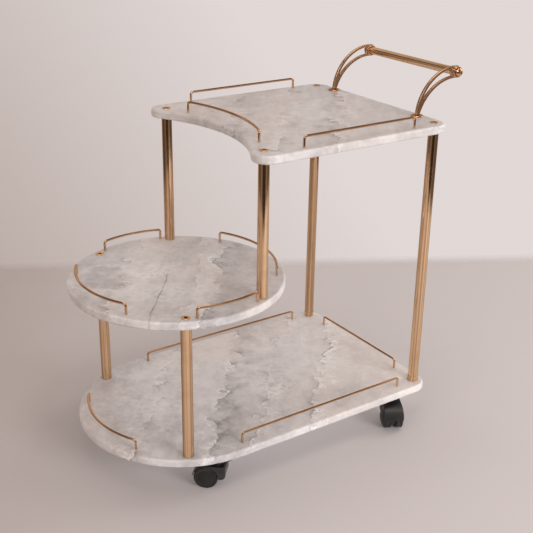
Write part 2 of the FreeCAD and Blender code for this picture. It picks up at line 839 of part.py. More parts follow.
def trolley():
    parts = {
        "bottom_board": bottom_board(),
        "middle_board": middle_board(),
        "top_board": top_board(),
        "post_plugs": post_plugs(),
        "long_post_collars": long_post_collars(),
        "top_board_bolts": top_board_bolts(),
        "middle_board_bolts": middle_board_bolts(),
        "bottom_board_bolts": bottom_board_bolts(),
        "handle_bar": handle_bar(),
        "handle_knobs": handle_knobs(),
        "handle_rosettes": handle_rosettes(),
        "handle_bolts": handle_bolts(),
        "caster_screws": caster_screws(),
    }
    for name, places, foot_z, length in post_sets():
        for side_name, place in zip(SIDES, places):
            parts[name + "_" + side_name] = post(place, foot_z, length)
    galleries = [(top_runs(), top_top_z), (middle_runs(), middle_top_z), (bottom_runs(), bottom_top_z)]
    for runs, board_top in galleries:
        for name, run in runs.items():
            parts[name] = rail(run, board_top)
    for side_name, side in SIDES.items():
        parts["handle_arm_" + side_name] = handle_arm(side)
    parts.update(placed_casters())
    return parts


round_end_reach = max(round_board_radius, bottom_half_width - round_end_shift)
handle_reach = bar_x + arm_eye_radius
to_origin = vec((round_end_reach - handle_reach) / 2, 0, 0)

os.makedirs("parts", exist_ok=True)
for node, solid in trolley().items():
    solid.translate(to_origin)
    solid.exportStep("parts/%s.step" % node)
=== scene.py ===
# %% [markdown]
# A tea trolley is dressed here around its CAD solids. They arrive as a fixed frame: every board,
# post, rail and wheel already has its real size and place, in metres. This lesson leaves them
# where they are and gives each surface a finish of its own. Rails, bolts and handle arms are also
# made again, for detail that their solids leave out.

# %% The frame
import math
import bmesh
import bpy
from mathutils import Matrix, Vector


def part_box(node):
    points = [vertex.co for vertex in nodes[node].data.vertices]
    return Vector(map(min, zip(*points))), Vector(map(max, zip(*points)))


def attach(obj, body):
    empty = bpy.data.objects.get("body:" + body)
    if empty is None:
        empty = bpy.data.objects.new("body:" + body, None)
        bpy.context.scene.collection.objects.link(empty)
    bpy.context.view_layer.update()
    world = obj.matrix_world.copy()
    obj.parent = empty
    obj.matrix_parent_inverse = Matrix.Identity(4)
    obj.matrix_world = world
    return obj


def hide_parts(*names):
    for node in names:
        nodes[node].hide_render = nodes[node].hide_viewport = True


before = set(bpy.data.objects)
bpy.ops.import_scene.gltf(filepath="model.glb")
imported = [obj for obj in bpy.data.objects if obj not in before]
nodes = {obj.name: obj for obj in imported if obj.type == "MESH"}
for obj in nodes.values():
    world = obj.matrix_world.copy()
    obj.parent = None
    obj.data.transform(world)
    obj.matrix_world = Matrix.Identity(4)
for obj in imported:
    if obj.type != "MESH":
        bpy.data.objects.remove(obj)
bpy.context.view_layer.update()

scene = bpy.context.scene
MM = 0.001

# %% [markdown]
# The picture looks down on the trolley from its round end and its front side. A camera could be
# aimed at a point, but this one also rolls a little, so its matrix is written straight from its
# place, azimuth, elevation and roll. The lens follows from the focal length in pixels of a square
# picture. The plain view transform shows a finish in the colours that it was given.

# %% Camera
PICTURE_SIDE = 533
FOCAL_PIXELS = 967.2
SENSOR_WIDTH = 36.0
CAMERA_PLACE = Vector((-1089.9, -1617.2, 1192.6)) * MM
CAMERA_AZIMUTH = math.radians(-34.6)
CAMERA_ELEVATION = math.radians(23.08)
CAMERA_ROLL = math.radians(0.94)


def level_ways(turn=0.0):
    """The level directions to the camera's right and away from it, turned by an angle."""
    angle = CAMERA_AZIMUTH + turn
    right = Vector((math.cos(angle), math.sin(angle), 0))
    away = Vector((-math.sin(angle), math.cos(angle), 0))
    return right, away


def camera_axes():
    """Right, up and backward directions of the camera."""
    level = math.cos(CAMERA_ELEVATION)
    back = Vector((math.sin(CAMERA_AZIMUTH) * level, -math.cos(CAMERA_AZIMUTH) * level,
                   math.sin(CAMERA_ELEVATION)))
    right = level_ways()[0]
    up = back.cross(right)
    c, s = math.cos(CAMERA_ROLL), math.sin(CAMERA_ROLL)
    return c * right + s * up, c * up - s * right, back


def make_camera():
    data = bpy.data.cameras.new("camera")
    data.sensor_width = SENSOR_WIDTH
    data.lens = SENSOR_WIDTH * FOCAL_PIXELS / PICTURE_SIDE
    camera = bpy.data.objects.new("camera", data)
    turn = Matrix(camera_axes()).transposed().to_4x4()
    camera.matrix_world = Matrix.Translation(CAMERA_PLACE) @ turn
    scene.collection.objects.link(camera)
    scene.camera = camera
    scene.view_settings.view_transform = "Standard"
    print("camera: lens %.2f mm" % data.lens)


make_camera()

# %% [markdown]
# Every finish below is a small graph of nodes. Typing `nodes.new` and `links.new` for each of them
# hides what the graph says, so a few helpers carry that. The first ones put a node down, feed a
# socket with a link or a plain value, and do sums on values and on vectors.

# %% Node helpers
def feed(tree, socket, value):
    """Links a socket to another one, or sets its plain value."""
    if isinstance(value, bpy.types.NodeSocket):
        tree.links.new(value, socket)
    else:
        socket.default_value = value


def put(tree, kind, **words):
    """Adds a node. Lower-case keywords are its settings, capitalised ones its inputs."""
    node = tree.nodes.new(kind)
    for word, value in words.items():
        if word[0].islower():
            setattr(node, word, value)
    for word, value in words.items():
        if word[0].isupper():
            feed(tree, node.inputs[word.replace("_", " ")], value)
    return node


def reckon(tree, operation, *values):
    """The result of a sum on values or sockets."""
    node = put(tree, "ShaderNodeMath", operation=operation)
    for socket, value in zip(node.inputs, values):
        feed(tree, socket, value)
    return node.outputs["Value"]


def product(tree, *values):
    """All the values multiplied together."""
    result = values[0]
    for value in values[1:]:
        result = reckon(tree, "MULTIPLY", result, value)
    return result


def apart(tree, value, mark):
    """How far a value lies from a mark, on either side of it."""
    return reckon(tree, "ABSOLUTE", reckon(tree, "SUBTRACT", value, mark))


def reckon_vector(tree, operation, *vectors):
    """The same on vectors: a length or a dot product is a value, the rest are vectors."""
    node = put(tree, "ShaderNodeVectorMath", operation=operation)
    sockets = [socket for socket in node.inputs if socket.enabled]
    for socket, vector in zip(sockets, vectors):
        feed(tree, socket, vector)
    return node.outputs["Value" if operation in ("LENGTH", "DOT_PRODUCT") else "Vector"]


def along(tree, vector, direction):
    """How far a place or a way reaches along a direction."""
    return reckon_vector(tree, "DOT_PRODUCT", vector, direction)


# %% [markdown]
# The other helpers are what finishes are made of: a range carried to another range, a mask that
# fades, noise, and colours that blend. Each material starts from the Principled shader, which
# stays in the material itself, because an export can't read a shader inside a group.

# %% Finish helpers
def remap(tree, value, low, high, to_low=0.0, to_high=1.0, soft=False):
    """The value carried from one range to another and held inside it."""
    kind = "SMOOTHSTEP" if soft else "LINEAR"
    node = put(tree, "ShaderNodeMapRange", interpolation_type=kind, Value=value,
               From_Min=low, From_Max=high, To_Min=to_low, To_Max=to_high)
    return node.outputs["Result"]


def fade(tree, value, start, end):
    """One up to the start, zero from the end on, and a soft slope between them."""
    return remap(tree, value, start, end, 1.0, 0.0, soft=True)


def noise(tree, place, scale, detail=2.0, roughness=0.5):
    """Cloudy values about a half, in lumps as wide as one over the scale."""
    node = put(tree, "ShaderNodeTexNoise", Vector=place, Scale=scale, Detail=detail,
               Roughness=roughness)
    return node.outputs["Fac"]


def swing(tree, cloud, reach):
    """Noise as a push to either side, half the reach at most."""
    return reckon(tree, "MULTIPLY_ADD", cloud, reach, -reach / 2)


def colour(red, green, blue):
    """An opaque colour."""
    return (red, green, blue, 1.0)


def blend_colours(tree, share, first, second, blend_type="MIX"):
    """The first colour with a share of the second mixed in, or multiplied on."""
    node = put(tree, "ShaderNodeMix", data_type="RGBA", blend_type=blend_type, Factor=share,
               A=first, B=second)
    return node.outputs["Result"]


def object_place(tree):
    """Where a point lies on its piece, in the frame's metres."""
    return put(tree, "ShaderNodeTexCoord").outputs["Object"]


def principled(name):
    """A new material, its tree and its shader."""
    material = bpy.data.materials.new(name)
    material.use_nodes = True
    tree = material.node_tree
    return material, tree, tree.nodes["Principled BSDF"]


# %% [markdown]
# A studio floor is a sheet of pale paper. Polished posts mirror the paper as far as its rim, and
# above that the dark room, so the rim sets how far down a post is dark, and a notch in it towards
# the camera draws a longer streak. The paper thins out there, and at a straight line behind the
# trolley where a wall would begin, so that no hard edge shows. It is painted darker towards the
# camera's left, painted shade for a light from the right. Under the boards it glows a little,
# painted light that lifts their shadow as reflectors round the trolley would, and from below it
# is clear, so that the casters can be looked at from there.

# %% Floor paper
FLOOR_PALE = colour(0.60, 0.565, 0.565)
# Painted shade: this colour darkens the paper towards the camera's left.
FLOOR_PAINTED_SHADE = colour(0.435, 0.38, 0.36)
FLOOR_PAINTED_SHADE_SPAN = (-1.15, 0.1)
FLOOR_MOTTLE = 0.2
PAPER_ROUGHNESS = 0.6
BACK_LINE_TURN = math.radians(5.0)
BACK_LINE = (0.84, 0.92)
FLOOR_RIM = (1.60, 1.96)
NOTCH_TURN = math.radians(11.0)
NOTCH_ALIGNED = (0.90, 0.99)
NOTCH_DEPTH = 0.18
GLOW_LINE = (-0.157, 0.19)
GLOW_REACH = (0.08, 0.28)
GLOW_STRENGTH = 0.31


def floor_shown(tree, place):
    """How much of the paper is there: none past the back line or the rim, or seen from below."""
    away = level_ways(BACK_LINE_TURN)[1]
    before_line = fade(tree, along(tree, place, away), *BACK_LINE)
    reach = reckon_vector(tree, "LENGTH", place)
    towards_camera = -level_ways(NOTCH_TURN)[1]
    aligned = reckon(tree, "DIVIDE", along(tree, place, towards_camera), reach)
    notch = remap(tree, aligned, *NOTCH_ALIGNED, 0.0, NOTCH_DEPTH, soft=True)
    inside_rim = fade(tree, reckon(tree, "ADD", reach, notch), *FLOOR_RIM)
    backfacing = put(tree, "ShaderNodeNewGeometry").outputs["Backfacing"]
    from_above = reckon(tree, "SUBTRACT", 1.0, backfacing)
    return product(tree, before_line, inside_rim, from_above)


def under_boards(tree, place):
    """One under the middle of the trolley, zero outside its footprint."""
    parts = put(tree, "ShaderNodeSeparateXYZ", Vector=place).outputs
    nearest = remap(tree, parts["X"], *GLOW_LINE, *GLOW_LINE)
    past_line = reckon(tree, "SUBTRACT", parts["X"], nearest)
    arm = put(tree, "ShaderNodeCombineXYZ", X=past_line, Y=parts["Y"]).outputs["Vector"]
    return fade(tree, reckon_vector(tree, "LENGTH", arm), *GLOW_REACH)


def floor_paper():
    material, tree, shader = principled("floor paper")
    place = object_place(tree)
    feed(tree, shader.inputs["Alpha"], floor_shown(tree, place))
    right = level_ways(BACK_LINE_TURN)[0]
    mottle = swing(tree, noise(tree, place, scale=3.0, detail=3.0), FLOOR_MOTTLE)
    # Painted shade: the paper darkens towards the camera's left, with a little mottle.
    shade = reckon(tree, "ADD", along(tree, place, right), mottle)
    shade = remap(tree, shade, *FLOOR_PAINTED_SHADE_SPAN, soft=True)
    paper = blend_colours(tree, shade, FLOOR_PAINTED_SHADE, FLOOR_PALE)
    feed(tree, shader.inputs["Base Color"], paper)
    feed(tree, shader.inputs["Emission Color"], paper)
    # Painted light: the paper glows under the boards and lifts their shadow there.
    glow = reckon(tree, "MULTIPLY", under_boards(tree, place), GLOW_STRENGTH)
    feed(tree, shader.inputs["Emission Strength"], glow)
    shader.inputs["Roughness"].default_value = PAPER_ROUGHNESS
    return material


# %% [markdown]
# The sheet itself is flat, so one face is enough for it. A square would do, but the rim is round,
# so it is a disc, and wide enough that the paper has thinned out before its edge.

# %% Floor
FLOOR_RADIUS = 3.0
FLOOR_SIDES = 96


def make_floor():
    mesh = bpy.data.meshes.new("floor")
    builder = bmesh.new()
    bmesh.ops.create_circle(builder, cap_ends=True, segments=FLOOR_SIDES, radius=FLOOR_RADIUS)
    builder.to_mesh(mesh)
    builder.free()
    mesh.materials.append(floor_paper())
    floor = bpy.data.objects.new("floor", mesh)
    scene.collection.objects.link(floor)
    print("floor: paper to", FLOOR_RIM[1], "m on a disc of", FLOOR_RADIUS, "m")


make_floor()

# %% [markdown]
# Polished metal looks like whatever stands round it. Here that is a room with light and dark panels,
# which is where the upright streaks of the posts come from, and a skylight overhead that draws the
# bright line along the wires. Walls could be modelled for it, but a colour for each direction is
# quicker to change and casts no shadows.

# %% Room as metal sees it
ROOM_DARK = colour(0.115, 0.072, 0.05)
ROOM_PANEL = colour(0.66, 0.57, 0.52)
ROOM_CEILING = colour(0.08, 0.06, 0.05)
ROOM_SKYLIGHT = colour(2.2, 2.0, 1.8)
CEILING_FROM = (0.64, 0.76)
SKYLIGHT_FROM = (0.88, 0.93)
HORIZON = (-0.25, 0.0)
BELOW_AHEAD = (0.2, 0.5)
BELOW_SHARES = (0.42, 0.9)
# Each stop is a turn round the room, as a share of a full one from behind the camera by its left,
# and how light the panels are there.
PANELS = (
    (0.05, 0.0),
    (0.08, 0.58), (0.14, 0.58),    # light, behind the camera on its left
    (0.18, 0.2), (0.287, 0.3),     # dim, on the left
    (0.307, 0.0), (0.331, 0.0),    # a dark gap
    (0.35, 0.95), (0.60, 0.95),    # bright, behind the trolley
    (0.64, 0.28), (0.78, 0.28),    # dim, on the right
    (0.82, 0.62), (0.87, 0.62),    # light, behind the camera on its right
    (0.91, 0.0),
)


def colour_ramp(tree, value, stops):
    """A colour read off a row of stops, each a position and a colour."""
    ramp = put(tree, "ShaderNodeValToRGB", Fac=value)
    elements = ramp.color_ramp.elements
    while len(elements) < len(stops):
        elements.new(0.5)
    for element, (position, shade) in zip(elements, stops):
        element.position = position
        element.color = shade
    return ramp.outputs["Color"]


def panelled_room(tree, way, height):
    """What metal shows: panels under a ceiling with a skylight, dimmer below except at the back."""
    right, away = level_ways()
    ahead = along(tree, way, away)
    turn = reckon(tree, "ARCTAN2", along(tree, way, right), ahead)
    turn = remap(tree, turn, -math.pi, math.pi)
    stops = [(position, colour(light, light, light)) for position, light in PANELS]
    shown = blend_colours(tree, colour_ramp(tree, turn, stops), ROOM_DARK, ROOM_PANEL)
    for heights, shade in ((CEILING_FROM, ROOM_CEILING), (SKYLIGHT_FROM, ROOM_SKYLIGHT)):
        shown = blend_colours(tree, remap(tree, height, *heights, soft=True), shown, shade)
    below = remap(tree, ahead, *BELOW_AHEAD, *BELOW_SHARES)
    share = remap(tree, height, *HORIZON, below, 1.0)
    return reckon_vector(tree, "SCALE", shown, share)


# %% [markdown]
# One room can't serve every surface: the panels would also streak the wall behind the trolley. The
# world knows which kind of ray asks, so it answers each one differently. The camera sees a pale wall
# that shades off to the left, plain surfaces get an even light, and reflections see the panels.

# %% Room
WALL_DIM = colour(0.45, 0.365, 0.33)
WALL_BRIGHT = colour(0.755, 0.69, 0.675)
WALL_LEAN = 0.7
WALL_SHADES_OVER = (-0.28, 0.12)
ROOM_LIGHT = colour(0.48, 0.41, 0.375)


def make_room():
    world = bpy.data.worlds.new("studio")
    scene.world = world
    world.use_nodes = True
    tree = world.node_tree
    tree.nodes.clear()
    way = put(tree, "ShaderNodeTexCoord").outputs["Generated"]
    height = put(tree, "ShaderNodeSeparateXYZ", Vector=way).outputs["Z"]
    right, up = camera_axes()[:2]
    across = along(tree, way, (right + WALL_LEAN * up).normalized())
    wall = blend_colours(tree, remap(tree, across, *WALL_SHADES_OVER), WALL_DIM, WALL_BRIGHT)
    room = blend_colours(tree, remap(tree, height, *HORIZON), ROOM_DARK, ROOM_LIGHT)
    rays = put(tree, "ShaderNodeLightPath").outputs
    seen = blend_colours(tree, rays["Is Glossy Ray"], room, panelled_room(tree, way, height))
    seen = blend_colours(tree, rays["Is Camera Ray"], seen, wall)
    background = put(tree, "ShaderNodeBackground", Color=seen, Strength=1.0)
    put(tree, "ShaderNodeOutputWorld", Surface=background.outputs["Background"])
    print("room:", len(tree.nodes), "nodes")


make_room()

# %% [markdown]
# Five soft boxes light the trolley. Most stay out of the metal, because they would dazzle on every
# thin wire. What glints there is the box at the side, and a sixth one that shows in nothing else.

# %% Soft boxes
def softbox(name, place, aim, size, power, tint, shows_in_metal=False, lights_stone=True):
    """An area light that points at its aim."""
    data = bpy.data.lights.new(name, "AREA")
    data.shape = "RECTANGLE"
    data.size, data.size_y = size
    data.energy = power
    data.color = tint
    light = bpy.data.objects.new(name, data)
    light.location = place
    light.rotation_euler = (Vector(aim) - Vector(place)).to_track_quat("-Z", "Y").to_euler()
    light.visible_glossy = shows_in_metal
    light.visible_diffuse = lights_stone
    scene.collection.objects.link(light)


softbox("overhead light", (0.1, 0.0, 2.7), (0, 0, 0), (2.2, 2.2), 9, (1, 0.955, 0.93))
softbox("front light", (0.7, -3.6, 1.1), (0, 0, 0.4), (1.8, 1.6), 105, (0.985, 0.99, 1.0))
softbox("side light", (2.4, -0.4, 1.6), (0, 0, 0.3), (1.0, 1.6), 16, (1, 0.99, 0.975),
        shows_in_metal=True)
softbox("left light", (-3.2, -1.3, 1.2), (-0.1, 0, 0.4), (1.6, 1.6), 25, (1, 0.89, 0.80))
softbox("back light", (-0.6, 3.6, 1.3), (0, 0, 0.4), (1.8, 1.6), 25, (1, 0.97, 0.95))
softbox("glint light", (-1.6, -2.2, 2.4), (0, 0, 0.5), (1.2, 1.2), 22, (1, 0.97, 0.94),
        shows_in_metal=True, lights_stone=False)
print("lights:", [item.name for item in bpy.data.lights])

# %% [markdown]
# Some effects belong to more than one finish. Each is a node group with named sockets, built once
# and placed in every material that needs it. Handling marks are the faint smears that hands leave
# on anything glossy. A painted map could hold them, but a slow noise, pushed to contrast, has no
# seams and fits any piece. Finishes take dull patches, worn gold and dust from it.

# %% Node groups and handling marks
VALUE = "NodeSocketFloat"
VECTOR = "NodeSocketVector"
SMEAR_CONTRAST = (0.42, 0.68)


def new_group(name, inputs, outputs, tree_type="ShaderNodeTree"):
    """An empty node group: its tree, the sockets that come in and those that go out."""
    group = bpy.data.node_groups.new(name, tree_type)
    for direction, sockets in (("INPUT", inputs), ("OUTPUT", outputs)):
        for socket, kind in sockets.items():
            group.interface.new_socket(name=socket, in_out=direction, socket_type=kind)
    given = group.nodes.new("NodeGroupInput").outputs
    return group, given, group.nodes.new("NodeGroupOutput").inputs


def place_group(tree, group, **sockets):
    """Places a group in a tree, feeds its inputs and gives its outputs."""
    return put(tree, "ShaderNodeGroup", node_tree=group, **sockets).outputs


def built(group):
    """Says how large a finished group is, and hands it on."""
    print("node group:", group.name, len(group.nodes), "nodes")
    return group


def handling_marks_group():
    group, given, result = new_group(
        "handling marks", {"Place": VECTOR, "Size": VALUE}, {"Marks": VALUE})
    scale = reckon(group, "DIVIDE", 1.0, given["Size"])
    smear = noise(group, given["Place"], scale, detail=4.0, roughness=0.6)
    feed(group, result["Marks"], remap(group, smear, *SMEAR_CONTRAST, soft=True))
    return group


HANDLING_MARKS = built(handling_marks_group())

# %% [markdown]
# The boards look like a pale onyx that flowed and set: misty grey pools drift along one diagonal,
# and here and there a layer breaks off in a lacy ridge, white on one side and shadowed on the
# other. A plain marble texture gives even stripes, so the stone is built as the eye reads it. A
# first group turns the place on the board into a distance across the flow, ruffled by noise and
# by soft lobes so that every line of equal distance is scalloped.

# %% Stone flow group
FLOW_TURN = math.radians(51.5)
FLOW_STRETCH = 0.42
BEND_REACH = 80 * MM
RUFFLE_REACH = 110 * MM
LOBE_REACH = 30 * MM
LOBE_SCALE = 46.0
LOBE_SOFTNESS = 0.4
STRAIGHT_RUFFLE = 20 * MM


def stone_flow_group():
    group, given, result = new_group(
        "stone flow", {"Place": VECTOR}, {"Across": VALUE, "Straight": VALUE, "Flow": VECTOR})
    place = given["Place"]
    turned = put(group, "ShaderNodeVectorRotate", rotation_type="Z_AXIS", Vector=place,
                 Angle=-FLOW_TURN).outputs["Vector"]
    flow = reckon_vector(group, "MULTIPLY", turned, (FLOW_STRETCH, 1, 1))
    bend = noise(group, flow, scale=6.0, detail=1.0)
    ruffle = noise(group, place, scale=20.0, detail=6.0, roughness=0.58)
    lobes = put(group, "ShaderNodeTexVoronoi", feature="SMOOTH_F1", Vector=place, Scale=LOBE_SCALE,
                Smoothness=LOBE_SOFTNESS).outputs["Distance"]
    straight = put(group, "ShaderNodeSeparateXYZ", Vector=turned).outputs["Y"]
    across = straight
    for cloud, reach in ((bend, BEND_REACH), (ruffle, RUFFLE_REACH), (lobes, LOBE_REACH)):
        across = reckon(group, "ADD", across, swing(group, cloud, reach))
    straight = reckon(group, "MULTIPLY_ADD", ruffle, STRAIGHT_RUFFLE, straight)
    feed(group, result["Across"], across)
    feed(group, result["Straight"], straight)
    feed(group, result["Flow"], flow)
    return group


STONE_FLOW = built(stone_flow_group())

# %% [markdown]
# A second group draws one ridge at a chosen distance across the flow. Its white fades slowly to
# one side, its shadow fades to the other, and a crack runs between them. Each board then needs
# only a short list of ridges.

# %% Stone ridge group
RIDGE_STEP = 2.2 * MM
STEP_OVERLAP = 0.3
CRACK_SHIFT = 0.7


def stone_ridge_group():
    inputs = ("Across", "At", "White Side", "White Width", "Shadow Width")
    outputs = ("White", "Shadow", "Crack")
    group, given, result = new_group(
        "stone ridge", dict.fromkeys(inputs, VALUE), dict.fromkeys(outputs, VALUE))
    off = reckon(group, "SUBTRACT", given["Across"], given["At"])
    ahead = reckon(group, "MULTIPLY", off, given["White Side"])
    behind = reckon(group, "MULTIPLY", ahead, -1.0)
    for name, side, other in (("White", ahead, behind), ("Shadow", behind, ahead)):
        step = remap(group, side, -STEP_OVERLAP * RIDGE_STEP, RIDGE_STEP, soft=True)
        slope = reckon(group, "EXPONENT", reckon(group, "DIVIDE", other, given[name + " Width"]))
        feed(group, result[name], product(group, step, slope))
    gap = apart(group, ahead, -CRACK_SHIFT * RIDGE_STEP)
    feed(group, result["Crack"], fade(group, gap, 0.0, RIDGE_STEP))
    return group


STONE_RIDGE = built(stone_ridge_group())

# %% [markdown]
# Where the stone cracked while it set, clear mineral filled the gaps. That leaves small patches of
# pale net, and round pools with a pale border. Both belong to a spot on the board and fade with
# the distance from it, so a third group makes both.

# %% Stone spot group
SPOT_WANDER = 80 * MM
NET_SCALE = 62.0
NET_SHAKE = 22 * MM
NET_LINE = (0.02, 0.2)
NET_FADES = (0.3, 1.0)
POOL_FADES = (0.7, 1.0)
BORDER_AT = 1.05
BORDER_WIDTH = 0.16


def stone_spot_group():
    group, given, result = new_group(
        "stone spot", {"Place": VECTOR, "Spot": VECTOR, "Radius": VALUE},
        {"Net": VALUE, "Pool": VALUE, "Border": VALUE})
    place = given["Place"]
    arm = reckon_vector(group, "SUBTRACT", place, given["Spot"])
    arm = reckon_vector(group, "MULTIPLY", arm, (1, 1, 0))
    wander = swing(group, noise(group, place, scale=24.0, detail=4.0), SPOT_WANDER)
    reach = reckon(group, "ADD", reckon_vector(group, "LENGTH", arm), wander)
    share = reckon(group, "DIVIDE", reach, given["Radius"])
    shake = put(group, "ShaderNodeTexNoise", Vector=place, Scale=60.0, Detail=3.0)
    shake = reckon_vector(group, "MULTIPLY", shake.outputs["Color"], (NET_SHAKE, NET_SHAKE, 0))
    shaken = reckon_vector(group, "ADD", place, shake)
    cells = put(group, "ShaderNodeTexVoronoi", feature="DISTANCE_TO_EDGE", Vector=shaken,
                Scale=NET_SCALE).outputs["Distance"]
    net = product(group, fade(group, cells, *NET_LINE), fade(group, share, *NET_FADES))
    feed(group, result["Net"], net)
    feed(group, result["Pool"], fade(group, share, *POOL_FADES))
    feed(group, result["Border"], fade(group, apart(group, share, BORDER_AT), 0.0, BORDER_WIDTH))
    return group


STONE_SPOT = built(stone_spot_group())

# %% [markdown]
# The stone's tone is a sum, from shadow to white, and clouds come first: slow drifts along the
# flow, mottle in two sizes, long streaks, and fine pale threads. One noise could stand for them
# all, but in the stone each has its own size and direction. A board's row holds its base tone, how
# much paler it gets for each metre towards the handle, which is painted light and shade across the
# board, and the strengths of drift, streak and mottle.

# %% Stone clouds
BOARD_CLOUDS = {
    "top_board": (0.42, 0.0, 0.13, 0.12, 0.13),
    "middle_board": (0.46, 0.35, 0.26, 0.05, 0.18),
    "bottom_board": (0.455, 0.34, 0.25, 0.05, 0.19),
}
CLOUD_RANGE = (0.3, 0.7)
STREAK_STRETCH = 0.5
THREAD_WIDTH = 0.02


def creases(tree, place, scale, detail, roughness):
    """Zero on the thin winding lines where a noise crosses its middle, and more beside them."""
    return apart(tree, noise(tree, place, scale, detail, roughness), 0.5)


def stone_clouds(tree, board, place, flow):
    base, lean, drift, streak, mottle = BOARD_CLOUDS[board]
    low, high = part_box(board)
    # Painted light and shade: the lean paints the board paler towards the handle.
    start = base - lean * (low[0] + high[0]) / 2
    tone = reckon(tree, "MULTIPLY_ADD", along(tree, place, (1, 0, 0)), lean, start)
    threads = creases(tree, place, scale=9.0, detail=6.0, roughness=0.6)
    threads = remap(tree, threads, 0.0, THREAD_WIDTH, mottle / 2, 0.0, soft=True)
    tone = reckon(tree, "ADD", tone, threads)
    streaks = reckon_vector(tree, "MULTIPLY", flow, (STREAK_STRETCH, 1, 1))
    for where, scale, detail, roughness, strength in (
            (flow, 7.0, 4.0, 0.55, drift),
            (place, 22.0, 6.0, 0.66, mottle),
            (place, 75.0, 4.0, 0.6, mottle / 2),
            (streaks, 45.0, 4.0, 0.6, streak)):
        cloud = noise(tree, where, scale, detail, roughness)
        shade = remap(tree, cloud, *CLOUD_RANGE, -strength / 2, strength / 2, soft=True)
        tone = reckon(tree, "ADD", tone, shade)
    return tone


# %% [markdown]
# Ridges are added to the tone next. A board's list gives each ridge's distance across the flow in
# millimetres, the side on which it is white, its strength, and the widths of its white and its
# shadow. A ridge drawn in one stroke looks painted, so noise breaks it up along its length, and
# the creases of a finer noise make its white lacy.

# %% Stone ridges
BOARD_RIDGES = {
    "top_board": (
        (-55, 1, 0.7, 9, 18),
        (-165, -1, 0.7, 16, 18),
        (40, 1, 0.4, 14, 20),
        (110, -1, 0.4, 16, 20)),
    "middle_board": (
        (65, 1, 0.85, 14, 17),
        (118, -1, 0.45, 14, 16),
        (262, -1, 0.6, 14, 26)),
    "bottom_board": (
        (62, 1, 1.0, 9, 30),
        (-145, -1, 1.1, 26, 9),
        (-34, -1, 0.6, 18, 14),
        (225, 1, 0.7, 14, 18)),
}
WHITE_TONE = 0.62
SHADOW_TONE = -0.50
CRACK_TONE = -0.38
PATCHES = (0.36, 0.60)
BROKEN_SHARES = (0.10, 1.0)
SMUDGE_SHARES = (0.15, 1.0)
LACE_WIDTH = 0.07
LACE_TONES = (1.1, 0.22)
FLECKS = (0.34, 0.42)
FLECK_TONES = (-0.5, 1.0)


def add_ridges(tree, tone, place, across, ridges):
    """Adds lacy whites and smudged shadows, broken up along each ridge."""
    broken = noise(tree, place, scale=17.0, detail=3.0)
    broken = remap(tree, broken, *PATCHES, *BROKEN_SHARES, soft=True)
    smudge = noise(tree, place, scale=38.0, detail=3.0, roughness=0.6)
    smudge = remap(tree, smudge, *PATCHES, *SMUDGE_SHARES, soft=True)
    lace = creases(tree, place, scale=42.0, detail=4.0, roughness=0.62)
    lace = remap(tree, lace, 0.0, LACE_WIDTH, *LACE_TONES, soft=True)
    fleck = noise(tree, place, scale=90.0, detail=2.0)
    lace = product(tree, lace, remap(tree, fleck, *FLECKS, *FLECK_TONES, soft=True))
    for at, side, strength, white, shadow in ridges:
        ridge = place_group(tree, STONE_RIDGE, Across=across, At=at * MM, White_Side=float(side),
                            White_Width=white * MM, Shadow_Width=shadow * MM)
        for part, texture, share in (("White", lace, WHITE_TONE), ("Shadow", smudge, SHADOW_TONE),
                                     ("Crack", smudge, CRACK_TONE)):
            shown = product(tree, ridge[part], texture, broken)
            tone = reckon(tree, "MULTIPLY_ADD", shown, share * strength, tone)
    return tone


# %% [markdown]
# Spots come last, each as its place on the board and its radius in millimetres, and how strong its
# net and its pool are. The round board also has one dark vein, a crack that opened when the stone
# was hard. It runs on where the ridges ruffle, so it lies at a straight distance across the flow.

# %% Stone spots and vein
BOARD_SPOTS = {
    "top_board": ((150, 60, 50, 0.5, 0.0), (60, 150, 60, 0.0, 0.4)),
    "middle_board": ((-222, 52, 62, 1.0, 0.0), (-330, 62, 66, 0.0, 1.0), (-250, -60, 70, 0.6, 0.0)),
    "bottom_board": ((8, -52, 62, 0.9, 0.0), (-270, 20, 80, 0.5, 0.0), (180, 150, 60, 0.0, 0.6)),
}
NET_TONE = 0.24
POOL_TONE = -0.09
BORDER_TONE = 0.14
VEINED_BOARD = "middle_board"
VEIN_ACROSS = 185 * MM
VEIN_END = -75 * MM
VEIN_FADE = 30 * MM
VEIN_WIDTH = 2.6 * MM
VEIN_TONE = 0.36
VEIN_GAPS = (0.36, 0.56)
VEIN_SHARES = (0.15, 1.0)


def add_spots(tree, tone, place, spots):
    for x, y, radius, net, pool in spots:
        spot = place_group(tree, STONE_SPOT, Place=place, Spot=(x * MM, y * MM, 0),
                           Radius=radius * MM)
        for part, share in (("Net", NET_TONE * net), ("Pool", POOL_TONE * pool),
                            ("Border", BORDER_TONE * pool)):
            tone = reckon(tree, "MULTIPLY_ADD", spot[part], share, tone)
    return tone


def add_vein(tree, tone, place, straight):
    off = apart(tree, straight, VEIN_ACROSS)
    line = remap(tree, off, 0.0, VEIN_WIDTH, VEIN_TONE, 0.0, soft=True)
    run = along(tree, place, (math.cos(FLOW_TURN), math.sin(FLOW_TURN), 0))
    before_end = fade(tree, run, VEIN_END - VEIN_FADE, VEIN_END)
    shown = remap(tree, noise(tree, place, scale=16.0, detail=3.0), *VEIN_GAPS, *VEIN_SHARES)
    return reckon(tree, "SUBTRACT", tone, product(tree, line, before_end, shown))


# %% [markdown]
# The boards are taken to be coated to look like stone, under a clear satin lacquer. A colour ramp
# turns the tone into greys, which keeps every board in the same range, and a slow noise warms whole
# patches towards beige. The lacquer is the shader's thin coat, so that it can be smoother than the
# stone below it.

